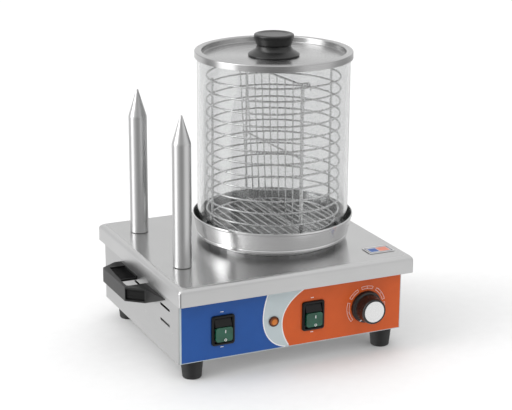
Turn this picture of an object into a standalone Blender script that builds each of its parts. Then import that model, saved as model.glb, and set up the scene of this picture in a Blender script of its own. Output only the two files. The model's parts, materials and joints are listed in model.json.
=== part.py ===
"""Counter-top hot dog steamer with two heated bun spikes.

Metres, +X to the right along the front, +Y to the back, +Z up.  The origin is
the middle of the footprint, on the surface that the rubber feet stand on.
"""

import math

import bmesh
import bpy
from mathutils import Vector

MM = 0.001
GAP = 0.3 * MM                    # clearance left between separate pieces

# Deck: the pressed top cover
DECK_W = 328 * MM
DECK_D = 296 * MM
DECK_TOP = 129.3 * MM
DECK_SKIRT = 23.1 * MM
DECK_CORNER = 6 * MM
DECK_BEND = 5 * MM
SHEET = 1.2 * MM

# Body under the deck
BODY_X = 157.8 * MM               # outer face of each side wall
BODY_FRONT = -128.6 * MM          # outer face of the front wall
BODY_BACK = 139.1 * MM
BODY_BOTTOM = 23.8 * MM
BODY_TOP = DECK_TOP - SHEET - GAP
BODY_BEND = 2 * MM
INNER_X = BODY_X - SHEET
TRAY_WALL = 12 * MM

# Controls on the front, all on one height
CONTROL_Z = 62 * MM
SWITCH_X = (-98.5 * MM, 27.5 * MM)
SWITCH_W = 29.5 * MM
SWITCH_H = 37.5 * MM
SWITCH_WINDOW_W = 24 * MM
SWITCH_WINDOW_H = 33.4 * MM
SWITCH_BODY_W = 27 * MM
SWITCH_BODY_H = 36 * MM
SWITCH_DEPTH = 24 * MM
BEZEL_OUT = 2.2 * MM
LAMP_X = -28 * MM
DIAL_X = 105 * MM
LABEL_THICK = 0.5 * MM
LABEL_FRONT = BODY_FRONT - GAP - LABEL_THICK
PANEL_OUT = LABEL_FRONT - GAP     # where bezels and flanges may begin

# Vent slots in the side walls
SLOT_L = 32 * MM
SLOT_H = 3.4 * MM
SLOT_UPPER_Z = 85.5 * MM
SLOT_LOWER_Z = 65 * MM
SLOT_FIRST_Y = -84 * MM
SLOT_PITCH = 46 * MM

# Glass cylinder, pan, basket and lid share one axis
AXIS_X = 30.3 * MM
AXIS_Y = -0.5 * MM
GLASS_R = 100 * MM
GLASS_WALL = 4 * MM
GLASS_Z = (143.6 * MM, 382 * MM)
PAN_BOTTOM = 137 * MM

# Basket: a cage of rings on posts, with a floor grid inside its foot
WIRE_R = 1.25 * MM
POST_R = 1.6 * MM
RING_R = 87.5 * MM
RING_TOP = 351 * MM
RING_PITCH = 16.3 * MM
RING_COUNT = 12
RING_STEPS = 24
POST_CIRCLE = RING_R - 1.7 * MM   # the posts stand inside the rings, welded to them
FLOOR_R = POST_CIRCLE - POST_R - GAP - WIRE_R
FLOOR_Z = 158 * MM
FLOOR_PITCH = 10.8 * MM
FLOOR_SIDE = 7                    # floor wires each side of the middle one
BASKET_FEET = PAN_BOTTOM + SHEET + 0.6 * MM

# Divider grid in the basket
DIVIDER_LEAN = 13 * MM            # the back of its top edge leans to the left
DIVIDER_RODS = 9
DIVIDER_HALF = 82 * MM
DIVIDER_Z = (161.5 * MM, 354 * MM)
ROD_R = 0.9 * MM

# Heated spikes
SPIKES = ((-124.7 * MM, 91.9 * MM), (-126.1 * MM, -65.3 * MM))
SPIKE_R = 12.2 * MM
SPIKE_SHOULDER = 290 * MM
SPIKE_TIP = 326 * MM
SPIKE_BORE = 8.2 * MM
SPIKE_BORE_TOP = 296 * MM
STUB_R = 10 * MM
STUB_BOTTOM = 112 * MM

# Carrying handles
HANDLE_Z = (76.5 * MM, 95.5 * MM)
HANDLE_SCREWS = (-46 * MM, 66 * MM)

# Feet
FOOT_X = BODY_X - 23 * MM
FOOT_Y = (-115.7 * MM, 112.7 * MM)
FOOT_TOP_R = 14.5 * MM
FOOT_BOTTOM_R = 12.2 * MM

# Cord inlet at the back: its tail mirrors how far the dial stands out in front
GLAND_X = -110 * MM
GLAND_Z = 52 * MM
DIAL_FACE = -152.9 * MM

STEEL = ("steel", (0.62, 0.62, 0.61), 0.32, 1.0)
DECK_STEEL = ("deck_steel", (0.66, 0.66, 0.65), 0.24, 1.0)
DARK_STEEL = ("dark_steel", (0.35, 0.35, 0.35), 0.45, 1.0)
WIRE = ("wire", (0.6, 0.6, 0.59), 0.28, 1.0)
ALUMINIUM = ("aluminium", (0.72, 0.72, 0.72), 0.3, 1.0)
BLACK = ("black_plastic", (0.02, 0.02, 0.02), 0.42, 0.0)
RUBBER = ("rubber", (0.025, 0.025, 0.025), 0.75, 0.0)
GLASS = ("glass", (0.9, 0.92, 0.92), 0.03, 0.0)
BLUE = ("label_blue", (0.033, 0.105, 0.32), 0.4, 0.0)
GREEN = ("green_lens", (0.02, 0.16, 0.09), 0.25, 0.0)
AMBER = ("amber_lens", (0.75, 0.2, 0.02), 0.2, 0.0)
CERAMIC = ("ceramic", (0.8, 0.78, 0.72), 0.6, 0.0)
BRASS = ("brass", (0.7, 0.5, 0.2), 0.35, 1.0)

SMOOTH_ANGLE = math.radians(35)


def clear_scene():
    for obj in list(bpy.data.objects):
        bpy.data.objects.remove(obj, do_unlink=True)


def make_collection(name):
    group = bpy.data.collections.new(name)
    bpy.context.scene.collection.children.link(group)
    return group


clear_scene()
PARTS = make_collection("hot_dog_steamer")
CUTTERS = make_collection("cutters")


def material(spec):
    name, colour, roughness, metallic = spec
    mat = bpy.data.materials.get(name)
    if mat is None:
        mat = bpy.data.materials.new(name)
        mat.use_nodes = True
        shader = mat.node_tree.nodes["Principled BSDF"]
        shader.inputs["Base Color"].default_value = (*colour, 1.0)
        shader.inputs["Roughness"].default_value = roughness
        shader.inputs["Metallic"].default_value = metallic
    return mat


def add(name, mesh, spec=None, place=(0, 0, 0), turn=None):
    """Link a mesh as a part, or as a hidden cutter when it has no material."""
    obj = bpy.data.objects.new(name, mesh)
    obj.location = place
    if turn is not None:
        obj.rotation_euler = turn
    if spec is None:
        CUTTERS.objects.link(obj)
        obj.hide_render = True
        obj.display_type = "WIRE"
    else:
        PARTS.objects.link(obj)
        mesh.materials.append(material(spec))
    return obj


def smooth(obj):
    obj.data.shade_smooth()
    obj.data.set_sharp_from_angle(angle=SMOOTH_ANGLE)
    return obj


def box_mesh(name, size):
    bm = bmesh.new()
    bmesh.ops.create_cube(bm, size=1.0)
    bmesh.ops.scale(bm, vec=size, verts=bm.verts)
    mesh = bpy.data.meshes.new(name)
    bm.to_mesh(mesh)
    bm.free()
    return mesh


def box(name, lo, hi, spec=None, bevel=0.0, segments=2):
    lo, hi = Vector(lo), Vector(hi)
    obj = add(name, box_mesh(name, hi - lo), spec, place=(lo + hi) / 2)
    if bevel:
        rounding = obj.modifiers.new("edges", "BEVEL")
        rounding.width = bevel
        rounding.segments = segments
    return obj


def turned(name, outline, spec=None, place=(0, 0, 0), turn=None, steps=32, ring=False):
    """Turn an outline of (radius, height) points about Z, outer side first and downwards."""
    mesh = bpy.data.meshes.new(name)
    edges = [(i, i + 1) for i in range(len(outline) - 1)]
    if ring:
        edges.append((len(outline) - 1, 0))
    mesh.from_pydata([(r, 0.0, z) for r, z in outline], edges, [])
    obj = add(name, mesh, spec, place, turn)
    screw = obj.modifiers.new("turn", "SCREW")
    screw.steps = screw.render_steps = steps
    screw.use_merge_vertices = True
    screw.merge_threshold = 0.00001
    screw.use_smooth_shade = True
    return obj


def rod(name, radius, low, high, spec=None, axis="Z", steps=16):
    """A round bar between two points given as the low end and its length along an axis."""
    turns = {"Z": (0, 0, 0), "Y": (-math.pi / 2, 0, 0), "X": (0, math.pi / 2, 0)}
    outline = [(0, high), (radius, high), (radius, 0), (0, 0)]
    return turned(name, outline, spec, low, turns[axis], steps)


def bake(obj):
    """Replace an object by the plain mesh that its modifiers make, in place."""
    depsgraph = bpy.context.evaluated_depsgraph_get()
    mesh = bpy.data.meshes.new_from_object(obj.evaluated_get(depsgraph))
    bm = bmesh.new()
    bm.from_mesh(mesh)
    bmesh.ops.remove_doubles(bm, verts=bm.verts, dist=0.00001)
    bm.to_mesh(mesh)
    bm.free()
    solid = bpy.data.objects.new(obj.name, mesh)
    solid.matrix_world = obj.matrix_world
    for group in obj.users_collection:
        group.objects.link(solid)
    solid.hide_render = obj.hide_render
    solid.display_type = obj.display_type
    name = obj.name
    bpy.data.objects.remove(obj, do_unlink=True)
    solid.name = name
    return solid


def combine(obj, tools, operation="DIFFERENCE"):
    for tool in tools:
        step = obj.modifiers.new(tool.name, "BOOLEAN")
        step.operation = operation
        step.solver = "EXACT"
        step.object = tool
    return obj


def hex_nut(name, across, bore, low, height, spec, axis="Z"):
    """A six-sided nut with a round bore, standing on its low point along an axis."""
    turns = {"Z": (0, 0, 0), "Y": (-math.pi / 2, 0, 0)}
    corner = across / 2 / math.cos(math.pi / 6)
    outline = [(0, height), (corner, height), (corner, 0), (0, 0)]
    nut = turned(name, outline, spec, low, turns[axis], steps=6)
    reach = Vector(low)
    reach["XYZ".index(axis)] -= height
    return combine(nut, [rod(name + "_bore", bore, reach, 3 * height, axis=axis, steps=24)])


def wire(name, points, radius, spec=None, cyclic=False, resolution=1):
    curve = bpy.data.curves.new(name, "CURVE")
    curve.dimensions = "3D"
    curve.bevel_depth = radius
    curve.bevel_resolution = resolution
    curve.use_fill_caps = not cyclic
    spline = curve.splines.new("POLY")
    spline.points.add(len(points) - 1)
    spline.use_cyclic_u = cyclic
    for point, place in zip(spline.points, points):
        point.co = (*place, 1.0)
    obj = bpy.data.objects.new(name, curve)
    if spec is None:
        CUTTERS.objects.link(obj)
        obj.hide_render = True
        obj.display_type = "WIRE"
    else:
        PARTS.objects.link(obj)
        curve.materials.append(material(spec))
    return obj


def circle_points(radius, z, count):
    steps = [2 * math.pi * i / count for i in range(count)]
    return [(AXIS_X + radius * math.cos(a), AXIS_Y + radius * math.sin(a), z) for a in steps]


def join_closed(name, pieces, spec):
    """Union overlapping closed pieces into one solid."""
    solids = [bake(piece) for piece in pieces]
    first = solids[0]
    first.name = name
    first.data.materials.clear()
    first.data.materials.append(material(spec))
    for group in list(first.users_collection):
        group.objects.unlink(first)
    PARTS.objects.link(first)
    first.hide_render = False
    first.display_type = "TEXTURED"
    rest = bpy.data.collections.new(name + "_pieces")
    CUTTERS.children.link(rest)
    for solid in solids[1:]:
        for group in list(solid.users_collection):
            group.objects.unlink(solid)
        rest.objects.link(solid)
    step = first.modifiers.new("join", "BOOLEAN")
    step.operation = "UNION"
    step.solver = "EXACT"
    step.operand_type = "COLLECTION"
    step.collection = rest
    step.use_self = True
    return first


# Sheet metal

def deck():
    """Pressed cover: an open box, bevelled, thickened inwards and pierced."""
    bm = bmesh.new()
    bmesh.ops.create_cube(bm, size=1.0)
    bmesh.ops.scale(bm, vec=(DECK_W, DECK_D, DECK_SKIRT), verts=bm.verts)
    bottom = [f for f in bm.faces if f.normal.z < -0.5]
    bmesh.ops.delete(bm, geom=bottom, context="FACES_ONLY")
    upright = [e for e in bm.edges if abs(e.verts[0].co.z - e.verts[1].co.z) > DECK_SKIRT / 2]
    bmesh.ops.bevel(bm, geom=upright, offset=DECK_CORNER, segments=5, profile=0.5, affect="EDGES")
    rim = [e for e in bm.edges if all(v.co.z > DECK_SKIRT / 2 - 0.01 * MM for v in e.verts)]
    bmesh.ops.bevel(bm, geom=rim, offset=DECK_BEND, segments=3, profile=0.5, affect="EDGES")
    mesh = bpy.data.meshes.new("deck")
    bm.to_mesh(mesh)
    bm.free()
    obj = add("deck", mesh, DECK_STEEL, place=(0, 0, DECK_TOP - DECK_SKIRT / 2))
    wall = obj.modifiers.new("sheet", "SOLIDIFY")
    wall.thickness = SHEET
    wall.offset = -1
    low = DECK_TOP - 10 * MM
    cutters = [rod(f"deck_hole_{i}", STUB_R + 0.4 * MM, (x, y, low), 20 * MM, steps=24)
               for i, (x, y) in enumerate(SPIKES, 1)]
    cutters.append(rod("deck_pan_hole", 72 * MM, (AXIS_X, AXIS_Y, low), 20 * MM, steps=32))
    return combine(smooth(obj), cutters)


def slot(name, y, z):
    reach = 2 * BODY_X + 20 * MM
    half = Vector((reach / 2, SLOT_L / 2, SLOT_H / 2))
    middle = Vector((0, y, z))
    return box(name, middle - half, middle + half, bevel=1.2 * MM, segments=2)


def body_wrap():
    """Front wall and both side walls, bent from one sheet and open at the back."""
    bm = bmesh.new()
    left, right = -BODY_X, BODY_X
    corners = [(left, BODY_BACK), (left, BODY_FRONT), (right, BODY_FRONT), (right, BODY_BACK)]
    low = [bm.verts.new((x, y, BODY_BOTTOM)) for x, y in corners]
    high = [bm.verts.new((x, y, BODY_TOP)) for x, y in corners]
    for i in range(3):
        bm.faces.new((low[i], low[i + 1], high[i + 1], high[i]))
    bends = [e for e in bm.edges if {e.verts[0], e.verts[1]} in ({low[1], high[1]}, {low[2], high[2]})]
    bmesh.ops.bevel(bm, geom=bends, offset=BODY_BEND, segments=3, profile=0.5, affect="EDGES")
    mesh = bpy.data.meshes.new("body_wrap")
    bm.to_mesh(mesh)
    bm.free()
    obj = add("body_wrap", mesh, STEEL)
    wall = obj.modifiers.new("sheet", "SOLIDIFY")
    wall.thickness = SHEET
    wall.offset = -1
    cutters = [slot(f"slot_upper_{i}", SLOT_FIRST_Y + SLOT_PITCH * i, SLOT_UPPER_Z) for i in range(4)]
    cutters.append(slot("slot_lower", SLOT_FIRST_Y, SLOT_LOWER_Z))
    for i, x in enumerate(SWITCH_X, 1):
        cutters.append(control_window(f"switch_cutout_{i}", x))
    cutters.append(control_hole("lamp_hole", LAMP_X, 5.6 * MM))
    cutters.append(control_hole("dial_hole", DIAL_X, 5 * MM))
    for i, y in enumerate(HANDLE_SCREWS):
        low_end = (-BODY_X - 10 * MM, y, sum(HANDLE_Z) / 2)
        cutters.append(rod(f"handle_hole_{i}", 2.4 * MM, low_end, 2 * BODY_X + 20 * MM, axis="X"))
    return combine(smooth(obj), cutters)


def control_window(name, x):
    half_w = SWITCH_BODY_W / 2 + GAP
    half_h = SWITCH_BODY_H / 2 + GAP
    return box(name, (x - half_w, BODY_FRONT - 5 * MM, CONTROL_Z - half_h),
               (x + half_w, BODY_FRONT + 5 * MM, CONTROL_Z + half_h))


def control_hole(name, x, radius):
    return rod(name, radius, (x, BODY_FRONT - 5 * MM, CONTROL_Z), 10 * MM, axis="Y", steps=24)


def rear_panel():
    lo = (-INNER_X + GAP, BODY_BACK - SHEET, BODY_BOTTOM)
    hi = (INNER_X - GAP, BODY_BACK, BODY_TOP)
    obj = box("rear_panel", lo, hi, STEEL)
    cutters = [rod("gland_hole", 8.4 * MM, (GLAND_X, BODY_BACK - 10 * MM, GLAND_Z), 20 * MM, axis="Y")]
    for i in range(6):
        x = 10 * MM + 20 * MM * i
        cutters.append(box(f"rear_vent_{i}", (x, BODY_BACK - 5 * MM, 60 * MM),
                           (x + 5 * MM, BODY_BACK + 5 * MM, 90 * MM)))
    return combine(obj, cutters)


def base_tray():
    """Bottom plate with its edges folded up inside the walls."""
    back = BODY_BACK - SHEET - GAP
    lo = Vector((-INNER_X + GAP, BODY_FRONT + SHEET + GAP, BODY_BOTTOM))
    hi = Vector((INNER_X - GAP, back, BODY_BOTTOM + TRAY_WALL))
    obj = add("base_tray", box_mesh("base_tray", hi - lo), STEEL, place=(lo + hi) / 2)
    bm = bmesh.new()
    bm.from_mesh(obj.data)
    bmesh.ops.delete(bm, geom=[f for f in bm.faces if f.normal.z > 0.5], context="FACES_ONLY")
    bm.to_mesh(obj.data)
    bm.free()
    wall = obj.modifiers.new("sheet", "SOLIDIFY")
    wall.thickness = SHEET
    wall.offset = -1
    cutters = [rod(f"tray_hole_{i}", 2.6 * MM, (x, y, 15 * MM), 20 * MM)
               for i, (x, y) in enumerate(foot_places())]
    for i in range(5):
        x = -60 * MM + 30 * MM * i
        cutters.append(box(f"tray_vent_{i}", (x - 3 * MM, -35 * MM, 15 * MM), (x + 3 * MM, 35 * MM, 35 * MM)))
    return combine(obj, cutters)


# Front controls

def front_label():
    lo = (-BODY_X + 1.4 * MM, LABEL_FRONT, BODY_BOTTOM + 0.4 * MM)
    hi = (BODY_X - 1.4 * MM, LABEL_FRONT + LABEL_THICK, BODY_TOP)
    obj = box("front_label", lo, hi, BLUE)
    cutters = [control_window(f"label_cutout_{i}", x) for i, x in enumerate(SWITCH_X, 1)]
    cutters.append(control_hole("label_lamp_hole", LAMP_X, 5.6 * MM))
    cutters.append(control_hole("label_dial_hole", DIAL_X, 5 * MM))
    return combine(obj, cutters)


def switch_housing(index, x):
    """A rim outside the panel and a deep box behind it, hollow to the front."""
    name = f"switch_housing_{index}"
    rim_front = PANEL_OUT - BEZEL_OUT
    rim = box(name, (x - SWITCH_W / 2, rim_front, CONTROL_Z - SWITCH_H / 2),
              (x + SWITCH_W / 2, PANEL_OUT, CONTROL_Z + SWITCH_H / 2), BLACK)
    half_w, half_h = SWITCH_BODY_W / 2, SWITCH_BODY_H / 2
    shell = box(name + "_box", (x - half_w, rim_front + 1 * MM, CONTROL_Z - half_h),
                (x + half_w, PANEL_OUT + SWITCH_DEPTH, CONTROL_Z + half_h))
    half_w, half_h = SWITCH_WINDOW_W / 2, SWITCH_WINDOW_H / 2
    hollow = box(name + "_hollow", (x - half_w, rim_front - 5 * MM, CONTROL_Z - half_h),
                 (x + half_w, PANEL_OUT + SWITCH_DEPTH - 8 * MM, CONTROL_Z + half_h))
    combine(rim, [shell], "UNION")
    return combine(rim, [hollow])


ROCKER_PIVOT_Y = PANEL_OUT + 1.5 * MM
# Outward from the pivot and up, in millimetres: the lens sits on the step of the key's lower half
ROCKER_KEY = ((6.2, 5.0), (0.6, 15.6), (-5.5, 15.6), (-5.5, -15.6), (2.0, -15.6), (2.0, 5.0))
ROCKER_LENS = ((2.3, 4.7), (6.6, 4.7), (7.3, -14.6), (2.3, -15.2))
ROCKER_W = SWITCH_WINDOW_W - 1 * MM


def prism(name, outline, width, spec=None):
    """Extrude an outline of (outward, up) points along X, centred on the origin."""
    bm = bmesh.new()
    left = [bm.verts.new((-width / 2, -out, up)) for out, up in outline]
    face = bm.faces.new(left)
    bm.normal_update()
    grown = bmesh.ops.extrude_face_region(bm, geom=[face])
    moved = [v for v in grown["geom"] if isinstance(v, bmesh.types.BMVert)]
    bmesh.ops.translate(bm, vec=(width, 0, 0), verts=moved)
    bmesh.ops.recalc_face_normals(bm, faces=bm.faces)
    mesh = bpy.data.meshes.new(name)
    bm.to_mesh(mesh)
    bm.free()
    return add(name, mesh, spec)


def rocker(index, x):
    """Rocker with its upper half pressed in, and a lens that covers its lower half."""
    for name, outline, spec in ((f"rocker_{index}", ROCKER_KEY, BLACK), (f"rocker_lens_{index}", ROCKER_LENS, GREEN)):
        piece = prism(name, [(out * MM, up * MM) for out, up in outline], ROCKER_W, spec)
        piece.location = (x, ROCKER_PIVOT_Y, CONTROL_Z)


def lamp():
    centre = (LAMP_X, PANEL_OUT, CONTROL_Z)
    face_out = (math.pi / 2, 0, 0)
    ring = [(6.5, 1.4), (6.5, 0.0), (4.6, 0.0), (4.6, -15.0), (4.0, -15.0), (4.0, 0.6), (5.7, 0.6), (5.9, 1.4)]
    turned("lamp_bezel", [(r * MM, z * MM) for r, z in ring], STEEL, centre, face_out, 24, ring=True)
    lens = [(0.0, 3.8), (2.4, 3.4), (4.3, 2.4), (5.4, 0.9), (3.7, 0.9), (3.7, -12.0), (0.0, -12.0)]
    turned("lamp_lens", [(r * MM, z * MM) for r, z in lens], AMBER, centre, face_out, 16)


def thermostat():
    """Control with its shaft through the panel, the dial on it, and its sensor under the pan."""
    inside = BODY_FRONT + SHEET + GAP
    box("thermostat_body", (DIAL_X - 17 * MM, inside, CONTROL_Z - 17 * MM),
        (DIAL_X + 17 * MM, inside + 22 * MM, CONTROL_Z + 17 * MM), DARK_STEEL, bevel=2 * MM)
    shaft_front = DIAL_FACE + 8 * MM
    low = (DIAL_X, shaft_front, CONTROL_Z)
    rod("thermostat_shaft", 3 * MM, low, inside - GAP - shaft_front, ALUMINIUM, axis="Y")
    bulb = (AXIS_X - 30 * MM, AXIS_Y - 52 * MM, 122 * MM)
    start = (DIAL_X, inside + 22 * MM + GAP, CONTROL_Z)
    route = [start, (DIAL_X, -90 * MM, CONTROL_Z), (92 * MM, -78 * MM, 70 * MM),
             (70 * MM, -66 * MM, 100 * MM), (45 * MM, -55 * MM, 118 * MM),
             (AXIS_X, bulb[1], bulb[2])]
    tube = wire("sensor_tube", route, 1.1 * MM)
    sensor = rod("sensor_bulb", 3 * MM, bulb, 32 * MM, axis="X", steps=12)
    join_closed("thermostat_sensor", [sensor, tube], BRASS)


DIAL_PROFILE = ((0, 22.2), (14.6, 22.2), (14.6, 23.2), (16.2, 23.2), (16.9, 22.4), (18.2, 6.0),
                (21.0, 4.6), (21.6, 3.4), (21.6, 0.0), (3.3, 0.0), (3.3, 17.0), (0, 17.0))


def dial():
    face_out = (math.pi / 2, 0, 0)
    centre = (DIAL_X, PANEL_OUT, CONTROL_Z)
    turned("dial_knob", [(r * MM, z * MM) for r, z in DIAL_PROFILE], BLACK, centre, face_out, 28)
    out = PANEL_OUT - DIAL_FACE
    cap = [(0, out), (13.9 * MM, out), (14.3 * MM, out - 0.4 * MM), (14.3 * MM, 22.5 * MM), (0, 22.5 * MM)]
    turned("dial_cap", cap, ALUMINIUM, centre, face_out, 32)


# Pan, glass, basket and lid

def on_axis(name, outline, spec, steps=36, ring=False):
    points = [(r * MM, z * MM) for r, z in outline]
    return turned(name, points, spec, (AXIS_X, AXIS_Y, 0), None, steps, ring)


# Turned outlines are (radius, height) in millimetres
PAN_INSIDE = [(0, 138.2), (96.6, 138.2), (98.4, 138.7), (99.5, 140.2), (104.9, 164.0), (105.2, 165.0)]
PAN_OUTSIDE = [(105.4, 166.2), (106.9, 165.6), (106.9, 164.4), (105.9, 163.0), (100.8, 140.0),
               (99.7, 138.0), (97.6, 137.0), (0, 137.0)]
PAN_RING = [(84.0, 136.7), (84.0, 129.6), (80.0, 129.6), (80.0, 136.7)]
HEATER_PLATE = [(66.0, 130.9), (66.0, 128.9), (3.6, 128.9), (3.6, 130.9)]
LID_OUTLINE = [(0, 376.0), (92.4, 376.0), (93.4, 376.6), (93.9, 382.4), (95.0, 383.4), (101.6, 383.4),
               (102.9, 382.8), (103.2, 381.6), (103.2, 374.8), (102.2, 374.8), (102.2, 381.4),
               (101.4, 382.3), (95.4, 382.3), (94.9, 381.9), (94.4, 375.8), (93.0, 375.0), (0, 375.0)]
KNOB_OUTLINE = [(0, 403.8), (20.5, 404.2), (23.5, 405.0), (25.3, 404.2), (26.0, 402.6), (25.9, 400.4),
                (24.6, 398.4), (23.0, 391.0), (22.3, 389.8), (22.6, 387.6), (24.8, 384.2), (28.6, 381.0),
                (32.4, 379.0), (33.7, 377.8), (33.4, 376.3), (2.7, 376.3), (2.7, 392.0), (0, 392.0)]
KNOB_SCREW = [(0, 390.0), (2.3, 390.0), (2.3, 374.7), (5.0, 374.7), (4.6, 372.4), (0, 372.0)]


def water_pan():
    """Bowl with a turned rim; the glass stands in the taper at the foot of its wall."""
    return on_axis("water_pan", PAN_INSIDE + PAN_OUTSIDE, STEEL)


def pan_underside():
    """Ring that lifts the pan off the deck, and the heater clamped under it by a plate."""
    on_axis("pan_ring", PAN_RING, DARK_STEEL, ring=True)
    coil = circle_points(55 * MM, 134 * MM, 32)
    wire("pan_heater", coil, 2.6 * MM, DARK_STEEL, cyclic=True)
    on_axis("heater_plate", HEATER_PLATE, DARK_STEEL, steps=32, ring=True)
    rod("heater_stud", 3 * MM, (AXIS_X, AXIS_Y, 117 * MM), 19.7 * MM, STEEL, steps=12)
    hex_nut("heater_nut", 10 * MM, 3.3 * MM, (AXIS_X, AXIS_Y, 123 * MM), 5.6 * MM, STEEL)
    rod("thermal_cutout", 9 * MM, (AXIS_X + 32 * MM, AXIS_Y, 116 * MM), 12.6 * MM, CERAMIC, steps=20)


def glass_cylinder():
    low, high = (z / MM for z in GLASS_Z)
    outer, inner = GLASS_R / MM, (GLASS_R - GLASS_WALL) / MM
    outline = [(outer, high), (outer, low), (inner, low), (inner, high)]
    return on_axis("glass_cylinder", outline, GLASS, ring=True)


def ring_wire(name, radius, z):
    return wire(name, circle_points(radius, z, RING_STEPS), WIRE_R, cyclic=True, resolution=0)


def basket():
    """Rings on four posts, which stand on the pan's floor."""
    pieces = [ring_wire(f"ring_{i}", RING_R, RING_TOP - RING_PITCH * i) for i in range(RING_COUNT)]
    for i in range(4):
        angle = math.pi / 2 * i
        x, y = AXIS_X + POST_CIRCLE * math.cos(angle), AXIS_Y + POST_CIRCLE * math.sin(angle)
        ends = [(x, y, BASKET_FEET), (x, y, RING_TOP + 2.5 * MM)]
        pieces.append(wire(f"post_{i}", ends, POST_R))
    return join_closed("basket", pieces, WIRE)


def basket_floor():
    """Parallel wires under a ring that fits between the posts."""
    pieces = [ring_wire("floor_ring", FLOOR_R, FLOOR_Z)]
    for k in range(-FLOOR_SIDE, FLOOR_SIDE + 1):
        across = FLOOR_PITCH * k
        half = math.sqrt(FLOOR_R ** 2 - across ** 2)
        ends = [(AXIS_X + across, AXIS_Y + side * half, FLOOR_Z - 1.2 * MM) for side in (-1, 1)]
        pieces.append(wire(f"floor_wire_{k}", ends, WIRE_R * 0.9, resolution=0))
    return join_closed("basket_floor", pieces, WIRE)


def divider_x(y, z):
    """The grid leans: its top edge swings to the left towards the back."""
    low, high = DIVIDER_Z
    up = (z - low) / (high - low)
    back = 0.5 + y / (2 * DIVIDER_HALF)
    return AXIS_X - DIVIDER_LEAN * up * back


def basket_divider():
    """Upright rods between three cross bars, across the middle of the basket."""
    low, high = DIVIDER_Z
    pieces = []
    for z in (low, (low + high) / 2, high):
        ends = [(divider_x(y, z), AXIS_Y + y, z) for y in (-DIVIDER_HALF, DIVIDER_HALF)]
        pieces.append(wire(f"cross_bar_{z:.3f}", ends, WIRE_R))
    for i in range(DIVIDER_RODS):
        y = -DIVIDER_HALF + 1.5 * MM + (2 * DIVIDER_HALF - 3 * MM) * i / (DIVIDER_RODS - 1)
        ends = [(divider_x(y, z), AXIS_Y + y, z) for z in (low, high)]
        pieces.append(wire(f"divider_rod_{i}", ends, ROD_R, resolution=0))
    return join_closed("basket_divider", pieces, WIRE)


def lid():
    """Shallow dish with a turned-down edge that fits over the glass."""
    obj = on_axis("lid", LID_OUTLINE, STEEL)
    hole = rod("lid_hole", 2.8 * MM, (AXIS_X, AXIS_Y, 370 * MM), 10 * MM, steps=12)
    return combine(obj, [hole])


def lid_knob():
    on_axis("lid_knob", KNOB_OUTLINE, BLACK, steps=28)
    on_axis("knob_screw", KNOB_SCREW, STEEL, steps=16)


# Spikes

def spikes():
    """Pointed tubes on the deck, each held by a nut under it and heated by a cartridge."""
    seat = DECK_TOP + GAP
    outline = [(0, SPIKE_TIP), (0.9 * MM, SPIKE_TIP - 0.3 * MM), (1.6 * MM, SPIKE_TIP - 1.6 * MM),
               (SPIKE_R - 0.1 * MM, SPIKE_SHOULDER + 0.8 * MM), (SPIKE_R, SPIKE_SHOULDER - 0.6 * MM),
               (SPIKE_R, seat), (STUB_R, seat), (STUB_R, STUB_BOTTOM), (SPIKE_BORE, STUB_BOTTOM),
               (SPIKE_BORE, SPIKE_BORE_TOP), (0, SPIKE_BORE_TOP + 4 * MM)]
    cartridge = STUB_BOTTOM - 2 * MM
    for i, (x, y) in enumerate(SPIKES, 1):
        turned(f"spike_{i}", outline, ALUMINIUM, (x, y, 0), None, 24)
        hex_nut(f"spike_nut_{i}", 28 * MM, STUB_R + GAP, (x, y, 121 * MM), 6.7 * MM, STEEL)
        rod(f"spike_heater_{i}", SPIKE_BORE - 0.4 * MM, (x, y, cartridge), 184 * MM, DARK_STEEL, steps=24)


# Handles, feet and the cord inlet

# Outward from the wall and along it, in millimetres
HANDLE_OUTLINE = ((0.3, -83), (1.2, -83), (9.3, -39), (30.2, -21.5), (31, -19.5), (31, 60.5), (30.2, 62.5),
                  (9, 77), (0.3, 77), (0.3, -39))
GRIP_HOLE = ((-5, 26), (-17.5, 12.5))
GRIP_HOLLOW = ((-5, 24.5), (-16, 60))
GRIP_RECESS = ((1.5, 25), (0, 58))
GRIP_TIP = 1.2 * MM
GRIP_WEB = 5.5 * MM


def handle(name, side):
    """Moulded grip: hollow from below, with an opening and a recess on top, its front end tapered."""
    bm = bmesh.new()
    low, high = HANDLE_Z
    front = HANDLE_OUTLINE[0][1]
    lower, upper = [], []
    for out, y in HANDLE_OUTLINE:
        x = side * (BODY_X + out * MM)
        lower.append(bm.verts.new((x, y * MM, high - GRIP_TIP if y == front else low)))
        upper.append(bm.verts.new((x, y * MM, high)))
    for i in range(len(lower)):
        bm.faces.new((lower[i - 1], lower[i], upper[i], upper[i - 1]))
    bm.faces.new(upper)
    tip, rest = (0, 1, 2, -1), range(2, len(lower))
    bm.faces.new([lower[i] for i in tip])
    bm.faces.new([lower[i] for i in rest])
    bmesh.ops.recalc_face_normals(bm, faces=bm.faces)
    mesh = bpy.data.meshes.new(name)
    bm.to_mesh(mesh)
    bm.free()
    obj = add(name, mesh, BLACK)
    web = high - GRIP_WEB
    cuts = (("hole", GRIP_HOLE, low - 5 * MM, high + 5 * MM),
            ("hollow", GRIP_HOLLOW, low - 5 * MM, web),
            ("recess", GRIP_RECESS, high - 2.5 * MM, high + 5 * MM))
    cutters = []
    for label, ((near, far), (front, back)), bottom, top in cuts:
        xs = sorted(side * (BODY_X + out * MM) for out in (near, far))
        cutters.append(box(f"{name}_{label}", (xs[0], front * MM, bottom), (xs[1], back * MM, top)))
    middle = (low + high) / 2
    for i, y in enumerate(HANDLE_SCREWS):
        start = (side * (BODY_X + 3 * MM) - 3 * MM, y, middle)
        cutters.append(rod(f"{name}_screw_hole_{i}", 2.4 * MM, start, 6 * MM, axis="X", steps=12))
    return combine(obj, cutters)


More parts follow.
